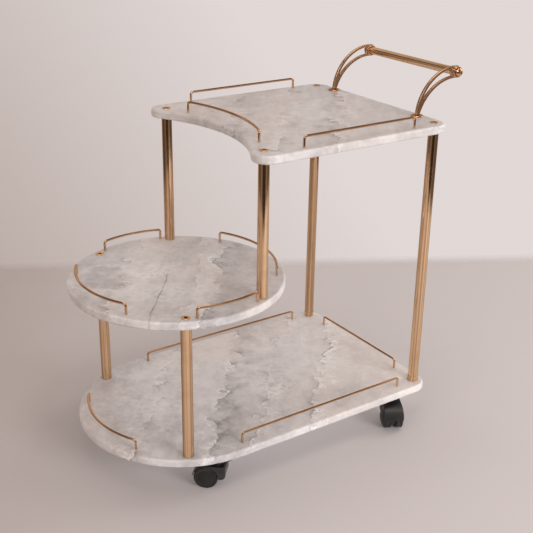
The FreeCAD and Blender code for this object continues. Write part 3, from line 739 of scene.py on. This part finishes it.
# %% Marble finishes
STONE_TONES = (
    (0.00, colour(0.28, 0.27, 0.28)),
    (0.28, colour(0.51, 0.49, 0.495)),
    (0.52, colour(0.685, 0.66, 0.66)),
    (0.76, colour(0.79, 0.77, 0.77)),
    (1.00, colour(0.92, 0.905, 0.905)),
)
STONE_BEIGE = colour(1.0, 0.975, 0.945)
BEIGE_PATCHES = (0.42, 0.66)
STONE_SMEARS = 90 * MM
STONE_ROUGHNESS = (0.36, 0.46)
LACQUER_WEIGHT = 0.12
LACQUER_ROUGHNESS = 0.28


def marble(board):
    material, tree, shader = principled("marble " + board)
    place = object_place(tree)
    stone = place_group(tree, STONE_FLOW, Place=place)
    tone = stone_clouds(tree, board, place, stone["Flow"])
    tone = add_ridges(tree, tone, place, stone["Across"], BOARD_RIDGES[board])
    tone = add_spots(tree, tone, place, BOARD_SPOTS[board])
    if board == VEINED_BOARD:
        tone = add_vein(tree, tone, place, stone["Straight"])
    warmth = remap(tree, noise(tree, place, scale=5.0, detail=3.0), *BEIGE_PATCHES, soft=True)
    grey = colour_ramp(tree, tone, STONE_TONES)
    warmed = blend_colours(tree, warmth, grey, STONE_BEIGE, blend_type="MULTIPLY")
    feed(tree, shader.inputs["Base Color"], warmed)
    marks = place_group(tree, HANDLING_MARKS, Place=place, Size=STONE_SMEARS)["Marks"]
    feed(tree, shader.inputs["Roughness"], remap(tree, marks, 0.0, 1.0, *STONE_ROUGHNESS))
    shader.inputs["Coat Weight"].default_value = LACQUER_WEIGHT
    shader.inputs["Coat Roughness"].default_value = LACQUER_ROUGHNESS
    return material


def dress(mesh, material):
    """Leaves a mesh with this one material."""
    mesh.materials.clear()
    mesh.materials.append(material)


def finish(material, *names):
    """Gives CAD nodes their finish."""
    for name in names:
        dress(nodes[name].data, material)


for board in BOARD_CLOUDS:
    finish(marble(board), board)
print("marble on:", list(BOARD_CLOUDS))

# %% [markdown]
# Posts, rails, handle and bolts wear the same thin plating. One function gives its colour, its
# greyer edge at grazing angles and the smears of handling; how far a piece was buffed is its
# roughness. Tube, wire, castings and turned heads take the plating differently, so each has its
# own pair of golds, fresh and worn. What a tool left on the metal is added piece by piece.

# %% Rose gold plating
ROSE_GOLD_EDGE = colour(0.55, 0.42, 0.36)
SMEAR_SIZE = 50 * MM
SMEAR_DULLING = 0.06


def rose_gold(name, golds, roughness):
    """The plating in its fresh and worn gold, with smears that dull it a little."""
    material, tree, shader = principled(name)
    marks = place_group(tree, HANDLING_MARKS, Place=object_place(tree), Size=SMEAR_SIZE)["Marks"]
    feed(tree, shader.inputs["Base Color"], blend_colours(tree, marks, *golds))
    dulled = remap(tree, marks, 0.0, 1.0, roughness, roughness + SMEAR_DULLING)
    feed(tree, shader.inputs["Roughness"], dulled)
    shader.inputs["Metallic"].default_value = 1.0
    shader.inputs["Specular Tint"].default_value = ROSE_GOLD_EDGE
    return material, tree, shader


# %% [markdown]
# The posts are drawn tube. Drawing leaves faint flats and lines along the length, and these break
# the room's reflection into the upright bands that make a tube look like metal. A group makes
# both from one stretched noise. The material turns them into bump, which stays below a tenth of a
# millimetre because on a mirror even that shows, and darkens the lines as painted dark streaks of
# reflection.

# %% Drawn lines group
DRAWN_MARKS = (("Bands", 1.0, 0.005), ("Lines", 1.6, 0.004))
LINE_SHARE = 0.05
# Painted reflection: the darkest lines are painted darker, as dark streaks of the room in the metal.
PAINTED_STREAK_LINES = (0.40, 0.58)
PAINTED_STREAK_COLOUR = colour(0.36, 0.205, 0.105)


def drawn_lines_group():
    group, given, result = new_group(
        "drawn lines", {"Place": VECTOR, "Width": VALUE}, {"Bands": VALUE, "Lines": VALUE})
    scale = reckon(group, "DIVIDE", 1.0, given["Width"])
    for output, fineness, run in DRAWN_MARKS:
        stretched = reckon_vector(group, "MULTIPLY", given["Place"], (fineness, fineness, run))
        feed(group, result[output], noise(group, stretched, scale))
    return group


DRAWN_LINES = built(drawn_lines_group())


def emboss(tree, shader, height, depth, strength=1.0):
    """Gives a finish relief that is too fine to model, from a height and its depth in metres."""
    bump = put(tree, "ShaderNodeBump", Height=height, Strength=strength, Distance=depth)
    feed(tree, shader.inputs["Normal"], bump.outputs["Normal"])


def colour_over(tree, shader, share, shade):
    """Blends one more colour over those that a finish has so far."""
    base = shader.inputs["Base Color"]
    feed(tree, base, blend_colours(tree, share, base.links[0].from_socket, shade))


def draw_out(tree, shader, place, width, depth, painted_streaks):
    """Adds drawing bands and painted dark reflection streaks that run along the third axis of a
    place.
    """
    drawn = place_group(tree, DRAWN_LINES, Place=place, Width=width)
    height = reckon(tree, "MULTIPLY_ADD", drawn["Lines"], LINE_SHARE, drawn["Bands"])
    emboss(tree, shader, height, depth)
    # Painted reflection: dark streaks painted along the lines.
    streaked = reckon(tree, "MULTIPLY", fade(tree, drawn["Lines"], *PAINTED_STREAK_LINES), painted_streaks)
    colour_over(tree, shader, streaked, PAINTED_STREAK_COLOUR)


# %% [markdown]
# Posts and bar are the same tube. Nobody rubs the posts, so their bands are deep, and their lines
# carry strong painted dark streaks of reflection; hands polish the bar, so its marks are ten times
# shallower and its painted streaks faint. The bar lies along Y, and its place is turned to stand it
# up, because the group draws along the third axis. Knobs and rosettes are small castings, buffed
# bright, and only get the plating.

# %% Posts and handle
TUBE_GOLDS = (colour(0.95, 0.665, 0.42), colour(0.87, 0.595, 0.365))
TUBE_ROUGHNESS = 0.07
POST_BANDS = 7 * MM
POST_BAND_DEPTH = 0.06 * MM
# Painted reflection: how strongly the posts' dark streaks are painted.
POST_PAINTED_STREAKS = 0.62
BAR_BANDS = 6 * MM
BAR_BAND_DEPTH = 0.006 * MM
# Painted reflection: the bar's dark streaks, painted faintly.
BAR_PAINTED_STREAKS = 0.08
CASTING_GOLDS = (colour(0.71, 0.455, 0.285), colour(0.63, 0.395, 0.245))
CASTING_ROUGHNESS = 0.08


def post_finish():
    material, tree, shader = rose_gold("drawn rose gold", TUBE_GOLDS, TUBE_ROUGHNESS)
    draw_out(tree, shader, object_place(tree), POST_BANDS, POST_BAND_DEPTH, POST_PAINTED_STREAKS)
    return material


def handle_bar_finish():
    material, tree, shader = rose_gold("polished bar rose gold", TUBE_GOLDS, TUBE_ROUGHNESS)
    upright = put(tree, "ShaderNodeVectorRotate", rotation_type="X_AXIS",
                  Vector=object_place(tree), Angle=math.pi / 2).outputs["Vector"]
    draw_out(tree, shader, upright, BAR_BANDS, BAR_BAND_DEPTH, BAR_PAINTED_STREAKS)
    return material


POSTS = [name for name in nodes if "post_" in name]
finish(post_finish(), *POSTS)
finish(handle_bar_finish(), "handle_bar")
finish(rose_gold("polished casting rose gold", CASTING_GOLDS, CASTING_ROUGHNESS)[0],
       "handle_knobs", "handle_rosettes")
print("rose gold on:", POSTS, "and the handle")

# %% [markdown]
# A handle arm is a casting: two strands that part and meet again, with edges softened by tumbling.
# The CAD mesh shows that softness in long narrow triangles, and a bright finish makes every one of
# them glitter. So the arm is cast again over its own solid, in small even cells, and smoothed.

# %% Cast handle arms
CAST_CELL = 0.55 * MM
TUMBLE_TURNS = 20
TUMBLE_SHARE = 0.5
ARM_ROUGHNESS = 0.27
WELD = 0.001 * MM


def merged_copy(name):
    """The mesh of a CAD node with its split corners joined."""
    builder = bmesh.new()
    builder.from_mesh(nodes[name].data)
    bmesh.ops.remove_doubles(builder, verts=builder.verts, dist=WELD)
    mesh = bpy.data.meshes.new(name + "_solid")
    builder.to_mesh(mesh)
    builder.free()
    return mesh


def plain_mesh(piece):
    """Turns a piece's modifiers into its own mesh."""
    depsgraph = bpy.context.evaluated_depsgraph_get()
    made = bpy.data.meshes.new_from_object(
        piece.evaluated_get(depsgraph), preserve_all_data_layers=True, depsgraph=depsgraph)
    piece.modifiers.clear()
    piece.data = made
    made.name = piece.name


def stand_for(piece, node):
    """Puts a finished piece in the place of a CAD node of the frame."""
    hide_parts(node)
    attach(piece, "frame")
    print(piece.name, len(piece.data.polygons), "faces")


def cast_arm(name, plating):
    arm = bpy.data.objects.new("cast_" + name, merged_copy(name))
    scene.collection.objects.link(arm)
    cells = arm.modifiers.new("cells", "REMESH")
    cells.mode = "VOXEL"
    cells.voxel_size = CAST_CELL
    cells.use_smooth_shade = True
    tumbled = arm.modifiers.new("tumbled", "SMOOTH")
    tumbled.factor = TUMBLE_SHARE
    tumbled.iterations = TUMBLE_TURNS
    plain_mesh(arm)
    dress(arm.data, plating)
    stand_for(arm, name)


arm_plating = rose_gold("satin casting rose gold", CASTING_GOLDS, ARM_ROUGHNESS)[0]
for name in ("handle_arm_front", "handle_arm_back"):
    cast_arm(name, arm_plating)

# %% [markdown]
# A rail is a wire that follows a path, and the bolts are one shape set down at many points. Both
# are rules more than shapes, so a tree of Geometry Nodes makes them from a few points. The helper
# hangs the tree on those points, sets its inputs, takes the finished mesh and drops the tree, so
# that what is left is a plain piece.

# %% Geometry node helpers
GEOMETRY = "NodeSocketGeometry"
COUNT = "NodeSocketInt"
THING = "NodeSocketObject"
PAINT = "NodeSocketMaterial"


def points_mesh(name, points, edges=()):
    mesh = bpy.data.meshes.new(name)
    mesh.from_pydata(points, edges, [])
    return mesh


def give_values(mesh, name, kind, values):
    """Stores one value for each point of a mesh."""
    attribute = mesh.attributes.new(name, kind, "POINT")
    field = "vector" if kind == "FLOAT_VECTOR" else "value"
    for item, value in zip(attribute.data, values):
        setattr(item, field, value)


def note(tree, geometry, name, kind, value):
    """Stores a value for each point of a geometry inside a tree."""
    node = put(tree, "GeometryNodeStoreNamedAttribute", data_type=kind, domain="POINT",
               Geometry=geometry, Name=name, Value=value)
    return node.outputs["Geometry"]


def noted(tree, name, kind):
    """The stored value of each point."""
    node = put(tree, "GeometryNodeInputNamedAttribute", data_type=kind, Name=name)
    return node.outputs["Attribute"]


def plated(tree, geometry, plating):
    """The end of a tree: real faces instead of instances, and their material."""
    real = put(tree, "GeometryNodeRealizeInstances", Geometry=geometry).outputs["Geometry"]
    return put(tree, "GeometryNodeSetMaterial", Geometry=real, Material=plating).outputs["Geometry"]


def grow(name, seed, maker, **inputs):
    """The plain piece that a geometry tree makes from a seed mesh."""
    piece = bpy.data.objects.new(name, seed)
    scene.collection.objects.link(piece)
    modifier = piece.modifiers.new("maker", "NODES")
    modifier.node_group = maker
    sockets = {item.name: item.identifier for item in maker.interface.items_tree}
    for socket, value in inputs.items():
        modifier[sockets[socket.replace("_", " ")]] = value
    plain_mesh(piece)
    return piece


# %% [markdown]
# A rail keeps cups from sliding off a board. It is one round wire: a foot goes into the board,
# the wire bends over, follows the board's edge, and bends down again. The seed is only the middle
# line with its corners marked, and the tree rounds the corners, sweeps a circle along the line and
# notes for each point where it lies on the wire, so that drawing lines can follow the bends.

# %% Bent wire tree
def place_on_wire(tree):
    """A point's place in the straight wire: across it twice, then along it."""
    side = put(tree, "ShaderNodeSeparateXYZ", Vector=noted(tree, "side", "FLOAT_VECTOR")).outputs
    run = noted(tree, "run", "FLOAT")
    return put(tree, "ShaderNodeCombineXYZ", X=side["X"], Y=side["Y"], Z=run).outputs["Vector"]


def bent_wire_tree():
    inputs = {"Geometry": GEOMETRY, "Thickness": VALUE, "Bend Radius": VALUE, "Sides": COUNT,
              "Bend Steps": COUNT, "Plating": PAINT}
    tree, given, result = new_group("bent wire", inputs, {"Geometry": GEOMETRY}, "GeometryNodeTree")
    line = put(tree, "GeometryNodeMeshToCurve", Mesh=given["Geometry"]).outputs["Curve"]
    radius = reckon(tree, "MULTIPLY", noted(tree, "corner", "FLOAT"), given["Bend Radius"])
    line = put(tree, "GeometryNodeFilletCurve", mode="POLY", Curve=line, Count=given["Bend Steps"],
               Radius=radius, Limit_Radius=True).outputs["Curve"]
    run = put(tree, "GeometryNodeSplineParameter").outputs["Length"]
    line = note(tree, line, "run", "FLOAT", run)
    half = reckon(tree, "MULTIPLY", given["Thickness"], 0.5)
    ring = put(tree, "GeometryNodeCurvePrimitiveCircle", Resolution=given["Sides"], Radius=half)
    side = put(tree, "GeometryNodeInputPosition").outputs["Position"]
    ring = note(tree, ring.outputs["Curve"], "side", "FLOAT_VECTOR", side)
    wire = put(tree, "GeometryNodeCurveToMesh", Curve=line, Profile_Curve=ring, Fill_Caps=True)
    wire = note(tree, wire.outputs["Mesh"], "wire place", "FLOAT_VECTOR", place_on_wire(tree))
    wire = put(tree, "GeometryNodeMergeByDistance", Geometry=wire, Distance=WELD)
    wire = put(tree, "GeometryNodeSetShadeSmooth", Geometry=wire.outputs["Geometry"])
    feed(tree, result["Geometry"], plated(tree, wire.outputs["Geometry"], given["Plating"]))
    return tree


BENT_WIRE = built(bent_wire_tree())

# %% [markdown]
# A rail's line is read from the box of its solid. A straight rail runs along the longer side. A
# bowed one is an arc of a circle, known from its chord and its rise, and all the script has to be
# told is which way it bows.

# %% Rail lines
WIRE_THICKNESS = 5 * MM
ARC_STEPS = 24
RAIL_BOWS = {
    "middle_rail_front": (0, -1),
    "middle_rail_back": (0, 1),
    "middle_rail_round_end": (-1, 0),
    "middle_rail_inner": (1, 0),
    "top_rail_bite": (1, 0),
    "bottom_rail_round_end": (-1, 0),
}


def arc_points(chord, rise):
    """Points of an arc over a chord, as pairs of places along it and heights above it."""
    if rise == 0:
        return [(-chord / 2, 0.0), (chord / 2, 0.0)]
    radius = (chord ** 2 / 4 + rise ** 2) / (2 * rise)
    reach = math.asin(chord / 2 / radius)
    turns = [reach * (2 * step / ARC_STEPS - 1) for step in range(ARC_STEPS + 1)]
    return [(radius * math.sin(turn), radius * (math.cos(turn) - 1) + rise) for turn in turns]


def rail_line(name):
    """The middle line of a rail, foot to foot."""
    low, high = (Vector(corner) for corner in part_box(name))
    half = WIRE_THICKNESS / 2
    margin = Vector((half, half, 0))
    low, high = low + margin, high - margin
    middle, size = (low + high) / 2, high - low
    bow = Vector((*RAIL_BOWS.get(name, (0, 0)), 0))
    runs_along_x = bow.y != 0 or (bow.x == 0 and size.x > size.y)
    way = Vector((1, 0, 0)) if runs_along_x else Vector((0, 1, 0))
    rise = abs(bow.dot(size))
    start = Vector((middle.x, middle.y, high.z - half)) - bow * rise / 2
    line = [start + way * place + bow * height for place, height in arc_points(way.dot(size), rise)]
    drop = Vector((0, 0, low.z - start.z))
    return [line[0] + drop, *line, line[-1] + drop]


# %% [markdown]
# Wire is drawn as the posts are, but through a smaller die, so its lines are finer, and its gold is
# a little redder. Object coordinates would run the lines straight through a bend, so this finish
# reads the place on the wire that the tree noted.

# %% Gallery rails
WIRE_GOLDS = (colour(0.86, 0.56, 0.345), colour(0.70, 0.44, 0.255))
WIRE_ROUGHNESS = 0.06
WIRE_BANDS = 4 * MM
WIRE_BAND_DEPTH = 0.006 * MM
# Painted reflection: how strongly the wire's dark streaks are painted.
WIRE_PAINTED_STREAKS = 0.5
WIRE_BEND = 6 * MM
WIRE_SIDES = 20
BEND_STEPS = 8


def wire_finish():
    material, tree, shader = rose_gold("polished wire rose gold", WIRE_GOLDS, WIRE_ROUGHNESS)
    place = put(tree, "ShaderNodeAttribute", attribute_name="wire place").outputs["Vector"]
    draw_out(tree, shader, place, WIRE_BANDS, WIRE_BAND_DEPTH, WIRE_PAINTED_STREAKS)
    return material


def bend_rail(name, plating):
    line = rail_line(name)
    seed = points_mesh(name + "_line", line, [(k, k + 1) for k in range(len(line) - 1)])
    corners = (1, len(line) - 2)
    give_values(seed, "corner", "FLOAT", [1.0 if k in corners else 0.0 for k in range(len(line))])
    rail = grow("wire_" + name, seed, BENT_WIRE, Thickness=WIRE_THICKNESS, Bend_Radius=WIRE_BEND,
                Sides=WIRE_SIDES, Bend_Steps=BEND_STEPS, Plating=plating)
    stand_for(rail, name)


RAILS = [name for name in nodes if "_rail_" in name]
wire_plating = wire_finish()
for name in RAILS:
    bend_rail(name, wire_plating)

# %% [markdown]
# Flat furniture bolts clamp the boards to the posts. Each head is a thin turned disc with a
# dished middle and a hexagon socket for the key. A cylinder with a socket cut out of it would need
# a boolean, which leaves ragged faces, so the one bolt is built ring by ring: a ring can be round
# or six-sided as needed.

# %% One bolt
HEAD_WIDTH = 18 * MM
HEAD_HEIGHT = 1.6 * MM
HEAD_EDGE = 0.6 * MM
DISH_WIDTH = 10 * MM
DISH_DEPTH = 0.5 * MM
KEY_FLATS = 5 * MM
KEY_DEPTH = 1.2 * MM
SHANK_WIDTH = 6 * MM
SHANK_LENGTH = 33 * MM
BOLT_SIDES = 48
EDGE_STEPS = 4
SHARP_ANGLE = math.radians(25)


def bolt_outline():
    """Rings from the shank's end over the head into the socket: radius, height, hexagon or not."""
    rim = HEAD_WIDTH / 2 - HEAD_EDGE
    rings = [(SHANK_WIDTH / 2, -SHANK_LENGTH, False)]
    rings.append((SHANK_WIDTH / 2, 0, False))
    rings.append((HEAD_WIDTH / 2, 0, False))
    for step in range(EDGE_STEPS + 1):
        turn = math.radians(90) * step / EDGE_STEPS
        height = HEAD_HEIGHT - HEAD_EDGE + HEAD_EDGE * math.sin(turn)
        rings.append((rim + HEAD_EDGE * math.cos(turn), height, False))
    rings.append((DISH_WIDTH / 2, HEAD_HEIGHT, False))
    rings.append((KEY_FLATS / 2, HEAD_HEIGHT - DISH_DEPTH, True))
    rings.append((KEY_FLATS / 2, HEAD_HEIGHT - KEY_DEPTH, True))
    return rings


def six_sided(turn):
    """How much further a hexagon reaches than the circle inside it."""
    return 1 / math.cos((turn + math.pi / 6) % (math.pi / 3) - math.pi / 6)


def ring_points(builder, radius, height, hexagon):
    points = []
    for side in range(BOLT_SIDES):
        turn = 2 * math.pi * side / BOLT_SIDES
        reach = radius * (six_sided(turn) if hexagon else 1)
        points.append(builder.verts.new((reach * math.cos(turn), reach * math.sin(turn), height)))
    return points


def turn_bolt():
    builder = bmesh.new()
    rings = [ring_points(builder, *ring) for ring in bolt_outline()]
    builder.faces.new(rings[0][::-1])
    for lower, upper in zip(rings, rings[1:]):
        for side in range(BOLT_SIDES):
            after = (side + 1) % BOLT_SIDES
            builder.faces.new((lower[side], lower[after], upper[after], upper[side]))
    builder.faces.new(rings[-1])
    for face in builder.faces:
        face.smooth = True
    mesh = bpy.data.meshes.new("bolt")
    builder.to_mesh(mesh)
    builder.free()
    mesh.set_sharp_from_angle(angle=SHARP_ANGLE)
    bolt = bpy.data.objects.new("bolt", mesh)
    scene.collection.objects.link(bolt)
    print("bolt:", len(mesh.polygons), "faces")
    return bolt


one_bolt = turn_bolt()

# %% [markdown]
# Twelve bolts are one shape at twelve points. The script could copy the mesh each time, but a tree
# does it in one step for each board and stays easy to change. Every point carries a turn, which
# sets the head up or down. Each copy keeps its own place as an attribute for the turning marks.

# %% Bolts at points tree
def bolts_at_points_tree():
    inputs = {"Geometry": GEOMETRY, "Bolt": THING, "Plating": PAINT}
    tree, given, result = new_group("bolts at points", inputs, {"Geometry": GEOMETRY},
                                    "GeometryNodeTree")
    shape = put(tree, "GeometryNodeObjectInfo", Object=given["Bolt"]).outputs["Geometry"]
    place = put(tree, "GeometryNodeInputPosition").outputs["Position"]
    shape = note(tree, shape, "bolt place", "FLOAT_VECTOR", place)
    points = put(tree, "GeometryNodeMeshToPoints", Mesh=given["Geometry"]).outputs["Points"]
    turn = put(tree, "FunctionNodeEulerToRotation", Euler=noted(tree, "turn", "FLOAT_VECTOR"))
    bolts = put(tree, "GeometryNodeInstanceOnPoints", Points=points, Instance=shape,
                Rotation=turn.outputs["Rotation"]).outputs["Instances"]
    feed(tree, result["Geometry"], plated(tree, bolts, given["Plating"]))
    return tree


BOLTS_AT_POINTS = built(bolts_at_points_tree())

# %% [markdown]
# The head's face was turned on a lathe, so its marks are rings about the bolt's own middle. The
# dish darkens towards the socket, which is painted darkest, as painted shade in the recess.

# %% Bolt finish
BOLT_GOLDS = (colour(0.97, 0.70, 0.44), colour(0.88, 0.60, 0.36))
BOLT_ROUGHNESS = 0.11
TURNING_PITCH = 0.35 * MM
TURNING_DEPTH = 0.0015 * MM
SOCKET_PAINTED_SHADE = colour(0.05, 0.03, 0.018)


def bolt_finish():
    material, tree, shader = rose_gold("turned rose gold", BOLT_GOLDS, BOLT_ROUGHNESS)
    place = put(tree, "ShaderNodeAttribute", attribute_name="bolt place").outputs["Vector"]
    height = put(tree, "ShaderNodeSeparateXYZ", Vector=place).outputs["Z"]
    radius = reckon_vector(tree, "LENGTH", reckon_vector(tree, "MULTIPLY", place, (1, 1, 0)))
    rings = reckon(tree, "SINE", reckon(tree, "MULTIPLY", radius, 2 * math.pi / TURNING_PITCH))
    emboss(tree, shader, rings, TURNING_DEPTH)
    # Painted shade: the dish darkens towards the socket.
    depth = remap(tree, height, HEAD_HEIGHT - DISH_DEPTH, HEAD_HEIGHT, 1.0, 0.0)
    inside = remap(tree, radius, DISH_WIDTH / 2 - TURNING_PITCH, DISH_WIDTH / 2, 1.0, 0.0)
    colour_over(tree, shader, product(tree, depth, inside), SOCKET_PAINTED_SHADE)
    return material


# %% [markdown]
# A bolt sits where the axis of a post meets the face of a board, so its place is read from their
# boxes and follows if the frame changes. All the script has to be told is which posts a board is
# bolted to, and from which side. Keys never leave two sockets in line, so each bolt is turned a
# little further than the last. The handle's bolts hide under the top board and keep their CAD mesh.

# %% Bolts
BOLT_SETS = {
    "top_board_bolts": ("top_board", {"upper_post": 1, "long_post": 1}),
    "middle_board_bolts": ("middle_board", {"lower_post": 1, "upper_post": -1}),
    "bottom_board_bolts": ("bottom_board", {"lower_post": -1, "long_post": -1}),
}
KEY_TURN = math.radians(23)
HIDDEN_BOLT_ROUGHNESS = 0.14


def bolt_points(board, heads):
    """Where the bolts of a board sit on its faces, and how each is turned."""
    low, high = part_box(board)
    places, turns = [], []
    for post, side in heads.items():
        for row in ("front", "back"):
            post_low, post_high = (Vector(corner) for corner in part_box(post + "_" + row))
            axis = (post_low + post_high) / 2
            places.append((axis.x, axis.y, high[2] if side > 0 else low[2]))
            turns.append((0 if side > 0 else math.pi, 0, KEY_TURN * len(turns)))
    return places, turns


bolt_plating = bolt_finish()
for name, (board, heads) in BOLT_SETS.items():
    places, turns = bolt_points(board, heads)
    seed = points_mesh(name + "_points", places)
    give_values(seed, "turn", "FLOAT_VECTOR", turns)
    bolts = grow("turned_" + name, seed, BOLTS_AT_POINTS, Bolt=one_bolt, Plating=bolt_plating)
    stand_for(bolts, name)
bpy.data.objects.remove(one_bolt)
finish(rose_gold("plain bolt rose gold", BOLT_GOLDS, HIDDEN_BOLT_ROUGHNESS)[0], "handle_bolts")

# %% [markdown]
# The casters are black nylon, moulded in a spark-eroded tool, which leaves a fine even grain. The
# grain breaks the gloss up, so it belongs in the bump. The same group serves hood and wheels, with
# its own grain size in each.

# %% Moulded grain group
GRAIN_DEPTH = 0.03 * MM
GRAIN_STRENGTH = 0.6
CLOUD_SCALE = 0.03
RUBBED_PATCHES = (0.4, 0.65)
RUBBED_PALER = 1.8
RUBBED_SMOOTHER = 0.1


def moulded_grain_group():
    group, given, result = new_group(
        "moulded grain", {"Place": VECTOR, "Grain": VALUE}, {"Height": VALUE, "Cloud": VALUE})
    fine = reckon(group, "DIVIDE", 1.0, given["Grain"])
    pits = put(group, "ShaderNodeTexVoronoi", feature="SMOOTH_F1", Vector=given["Place"], Scale=fine)
    slow = reckon(group, "MULTIPLY", fine, CLOUD_SCALE)
    feed(group, result["Height"], pits.outputs["Distance"])
    feed(group, result["Cloud"], noise(group, given["Place"], slow, detail=3.0))
    return group


MOULDED_GRAIN = built(moulded_grain_group())


def black_nylon(name, dye, grain, roughness):
    """Grained nylon, paler and smoother in patches where it was rubbed."""
    material, tree, shader = principled(name)
    moulded = place_group(tree, MOULDED_GRAIN, Place=object_place(tree), Grain=grain)
    rubbed = remap(tree, moulded["Cloud"], *RUBBED_PATCHES, soft=True)
    paler = colour(*(RUBBED_PALER * part for part in dye[:3]))
    feed(tree, shader.inputs["Base Color"], blend_colours(tree, rubbed, dye, paler))
    smoother = remap(tree, rubbed, 0.0, 1.0, roughness, roughness - RUBBED_SMOOTHER)
    feed(tree, shader.inputs["Roughness"], smoother)
    emboss(tree, shader, moulded["Height"], GRAIN_DEPTH, GRAIN_STRENGTH)
    return material, tree, shader


# %% [markdown]
# A wheel picks up dust where it rolls and keeps its face clean. A fine ring on its face, where the
# mould stepped, is painted paler as a painted highlight on that step. Both are masks on the
# distance from the wheel's own axle, which is read from its box, and noise breaks up the dust. The
# hoods are a little glossier and have the plain nylon.

# %% Wheels and hoods
WHEEL_NYLON = colour(0.008, 0.008, 0.008)
WHEEL_GRAIN = 1.1 * MM
WHEEL_ROUGHNESS = 0.46
TREAD_DUST = colour(0.022, 0.020, 0.019)
TREAD_BAND = 3.0 * MM
DUST_LUMPS = 12 * MM
DUST_SHARES = (0.25, 0.9)
SHEEN_RING_AT = 0.84
SHEEN_RING_WIDTH = 0.9 * MM
PAINTED_RING_SHEEN = colour(0.035, 0.034, 0.033)
HOOD_NYLON = colour(0.016, 0.0155, 0.0155)
HOOD_GRAIN = 1.3 * MM
HOOD_ROUGHNESS = 0.36


def wheel_plane(low, high):
    """Ones for the two directions in which a wheel is round, zero along its axle."""
    size = high - low
    return (0.0, 1.0, 1.0) if size.x < size.y else (1.0, 0.0, 1.0)


def wheel_nylon(name):
    material, tree, shader = black_nylon(
        "nylon " + name, WHEEL_NYLON, WHEEL_GRAIN, WHEEL_ROUGHNESS)
    low, high = (Vector(corner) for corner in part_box(name))
    middle, radius = (low + high) / 2, (high.z - low.z) / 2
    place = object_place(tree)
    arm = reckon_vector(tree, "SUBTRACT", place, middle)
    arm = reckon_vector(tree, "MULTIPLY", arm, wheel_plane(low, high))
    reach = reckon_vector(tree, "LENGTH", arm)
    # Painted highlight: a fine paler ring on the wheel's face.
    line = fade(tree, apart(tree, reach, SHEEN_RING_AT * radius), 0.0, SHEEN_RING_WIDTH)
    colour_over(tree, shader, line, PAINTED_RING_SHEEN)
    rim = remap(tree, reach, radius - TREAD_BAND, radius, soft=True)
    scuffs = place_group(tree, HANDLING_MARKS, Place=place, Size=DUST_LUMPS)["Marks"]
    dust = product(tree, rim, remap(tree, scuffs, 0.0, 1.0, *DUST_SHARES))
    colour_over(tree, shader, dust, TREAD_DUST)
    return material


WHEELS = [name for name in nodes if "_wheel_" in name]
HOODS = [name for name in nodes if name.endswith("_caster_body")]
for name in WHEELS:
    finish(wheel_nylon(name), name)
finish(black_nylon("hood nylon", HOOD_NYLON, HOOD_GRAIN, HOOD_ROUGHNESS)[0], *HOODS)
print("nylon on:", len(WHEELS), "wheels,", len(HOODS), "hoods")

# %% [markdown]
# Screws, pins and axles are zinc plated, which shows as faint crystals that catch the light one by
# one. The caster plates lie in the shade under the board and are painted nearly black, as painted
# shade. Both are the same plating in another colour, so one function makes them.

# %% Plated steel
ZINC = (colour(0.56, 0.57, 0.58), colour(0.66, 0.67, 0.69))
ZINC_ROUGHNESS = 0.3
PLATE_PAINTED_SHADE = (colour(0.035, 0.035, 0.036), colour(0.06, 0.06, 0.062))
PLATE_SHADE_ROUGHNESS = 0.42
CRYSTAL_SIZE = 3.5 * MM
CRYSTAL_DULLING = 0.08
STEEL_SMEARS = 20 * MM
STEEL_DULLING = 0.1


def plated_steel(name, shades, roughness):
    material, tree, shader = principled(name)
    place = object_place(tree)
    crystals = put(tree, "ShaderNodeTexVoronoi", Vector=place, Scale=1 / CRYSTAL_SIZE)
    share = put(tree, "ShaderNodeSeparateColor", Color=crystals.outputs["Color"]).outputs["Red"]
    feed(tree, shader.inputs["Base Color"], blend_colours(tree, share, *shades))
    dulled = remap(tree, share, 0.0, 1.0, roughness, roughness + CRYSTAL_DULLING)
    marks = place_group(tree, HANDLING_MARKS, Place=place, Size=STEEL_SMEARS)["Marks"]
    dulled = reckon(tree, "MULTIPLY_ADD", marks, STEEL_DULLING, dulled)
    feed(tree, shader.inputs["Roughness"], dulled)
    shader.inputs["Metallic"].default_value = 1.0
    return material


PLATES = [name for name in nodes if name.endswith("_caster_plate")]
PINS = [name for name in nodes if name.endswith(("_kingpin", "_axle"))]
finish(plated_steel("zinc steel", ZINC, ZINC_ROUGHNESS), "caster_screws", *PINS)
# Painted shade: the caster plates are painted nearly black where the board shades them.
finish(plated_steel("blackened steel", PLATE_PAINTED_SHADE, PLATE_SHADE_ROUGHNESS), *PLATES)
print("steel on:", len(PLATES), "plates,", len(PINS), "pins")
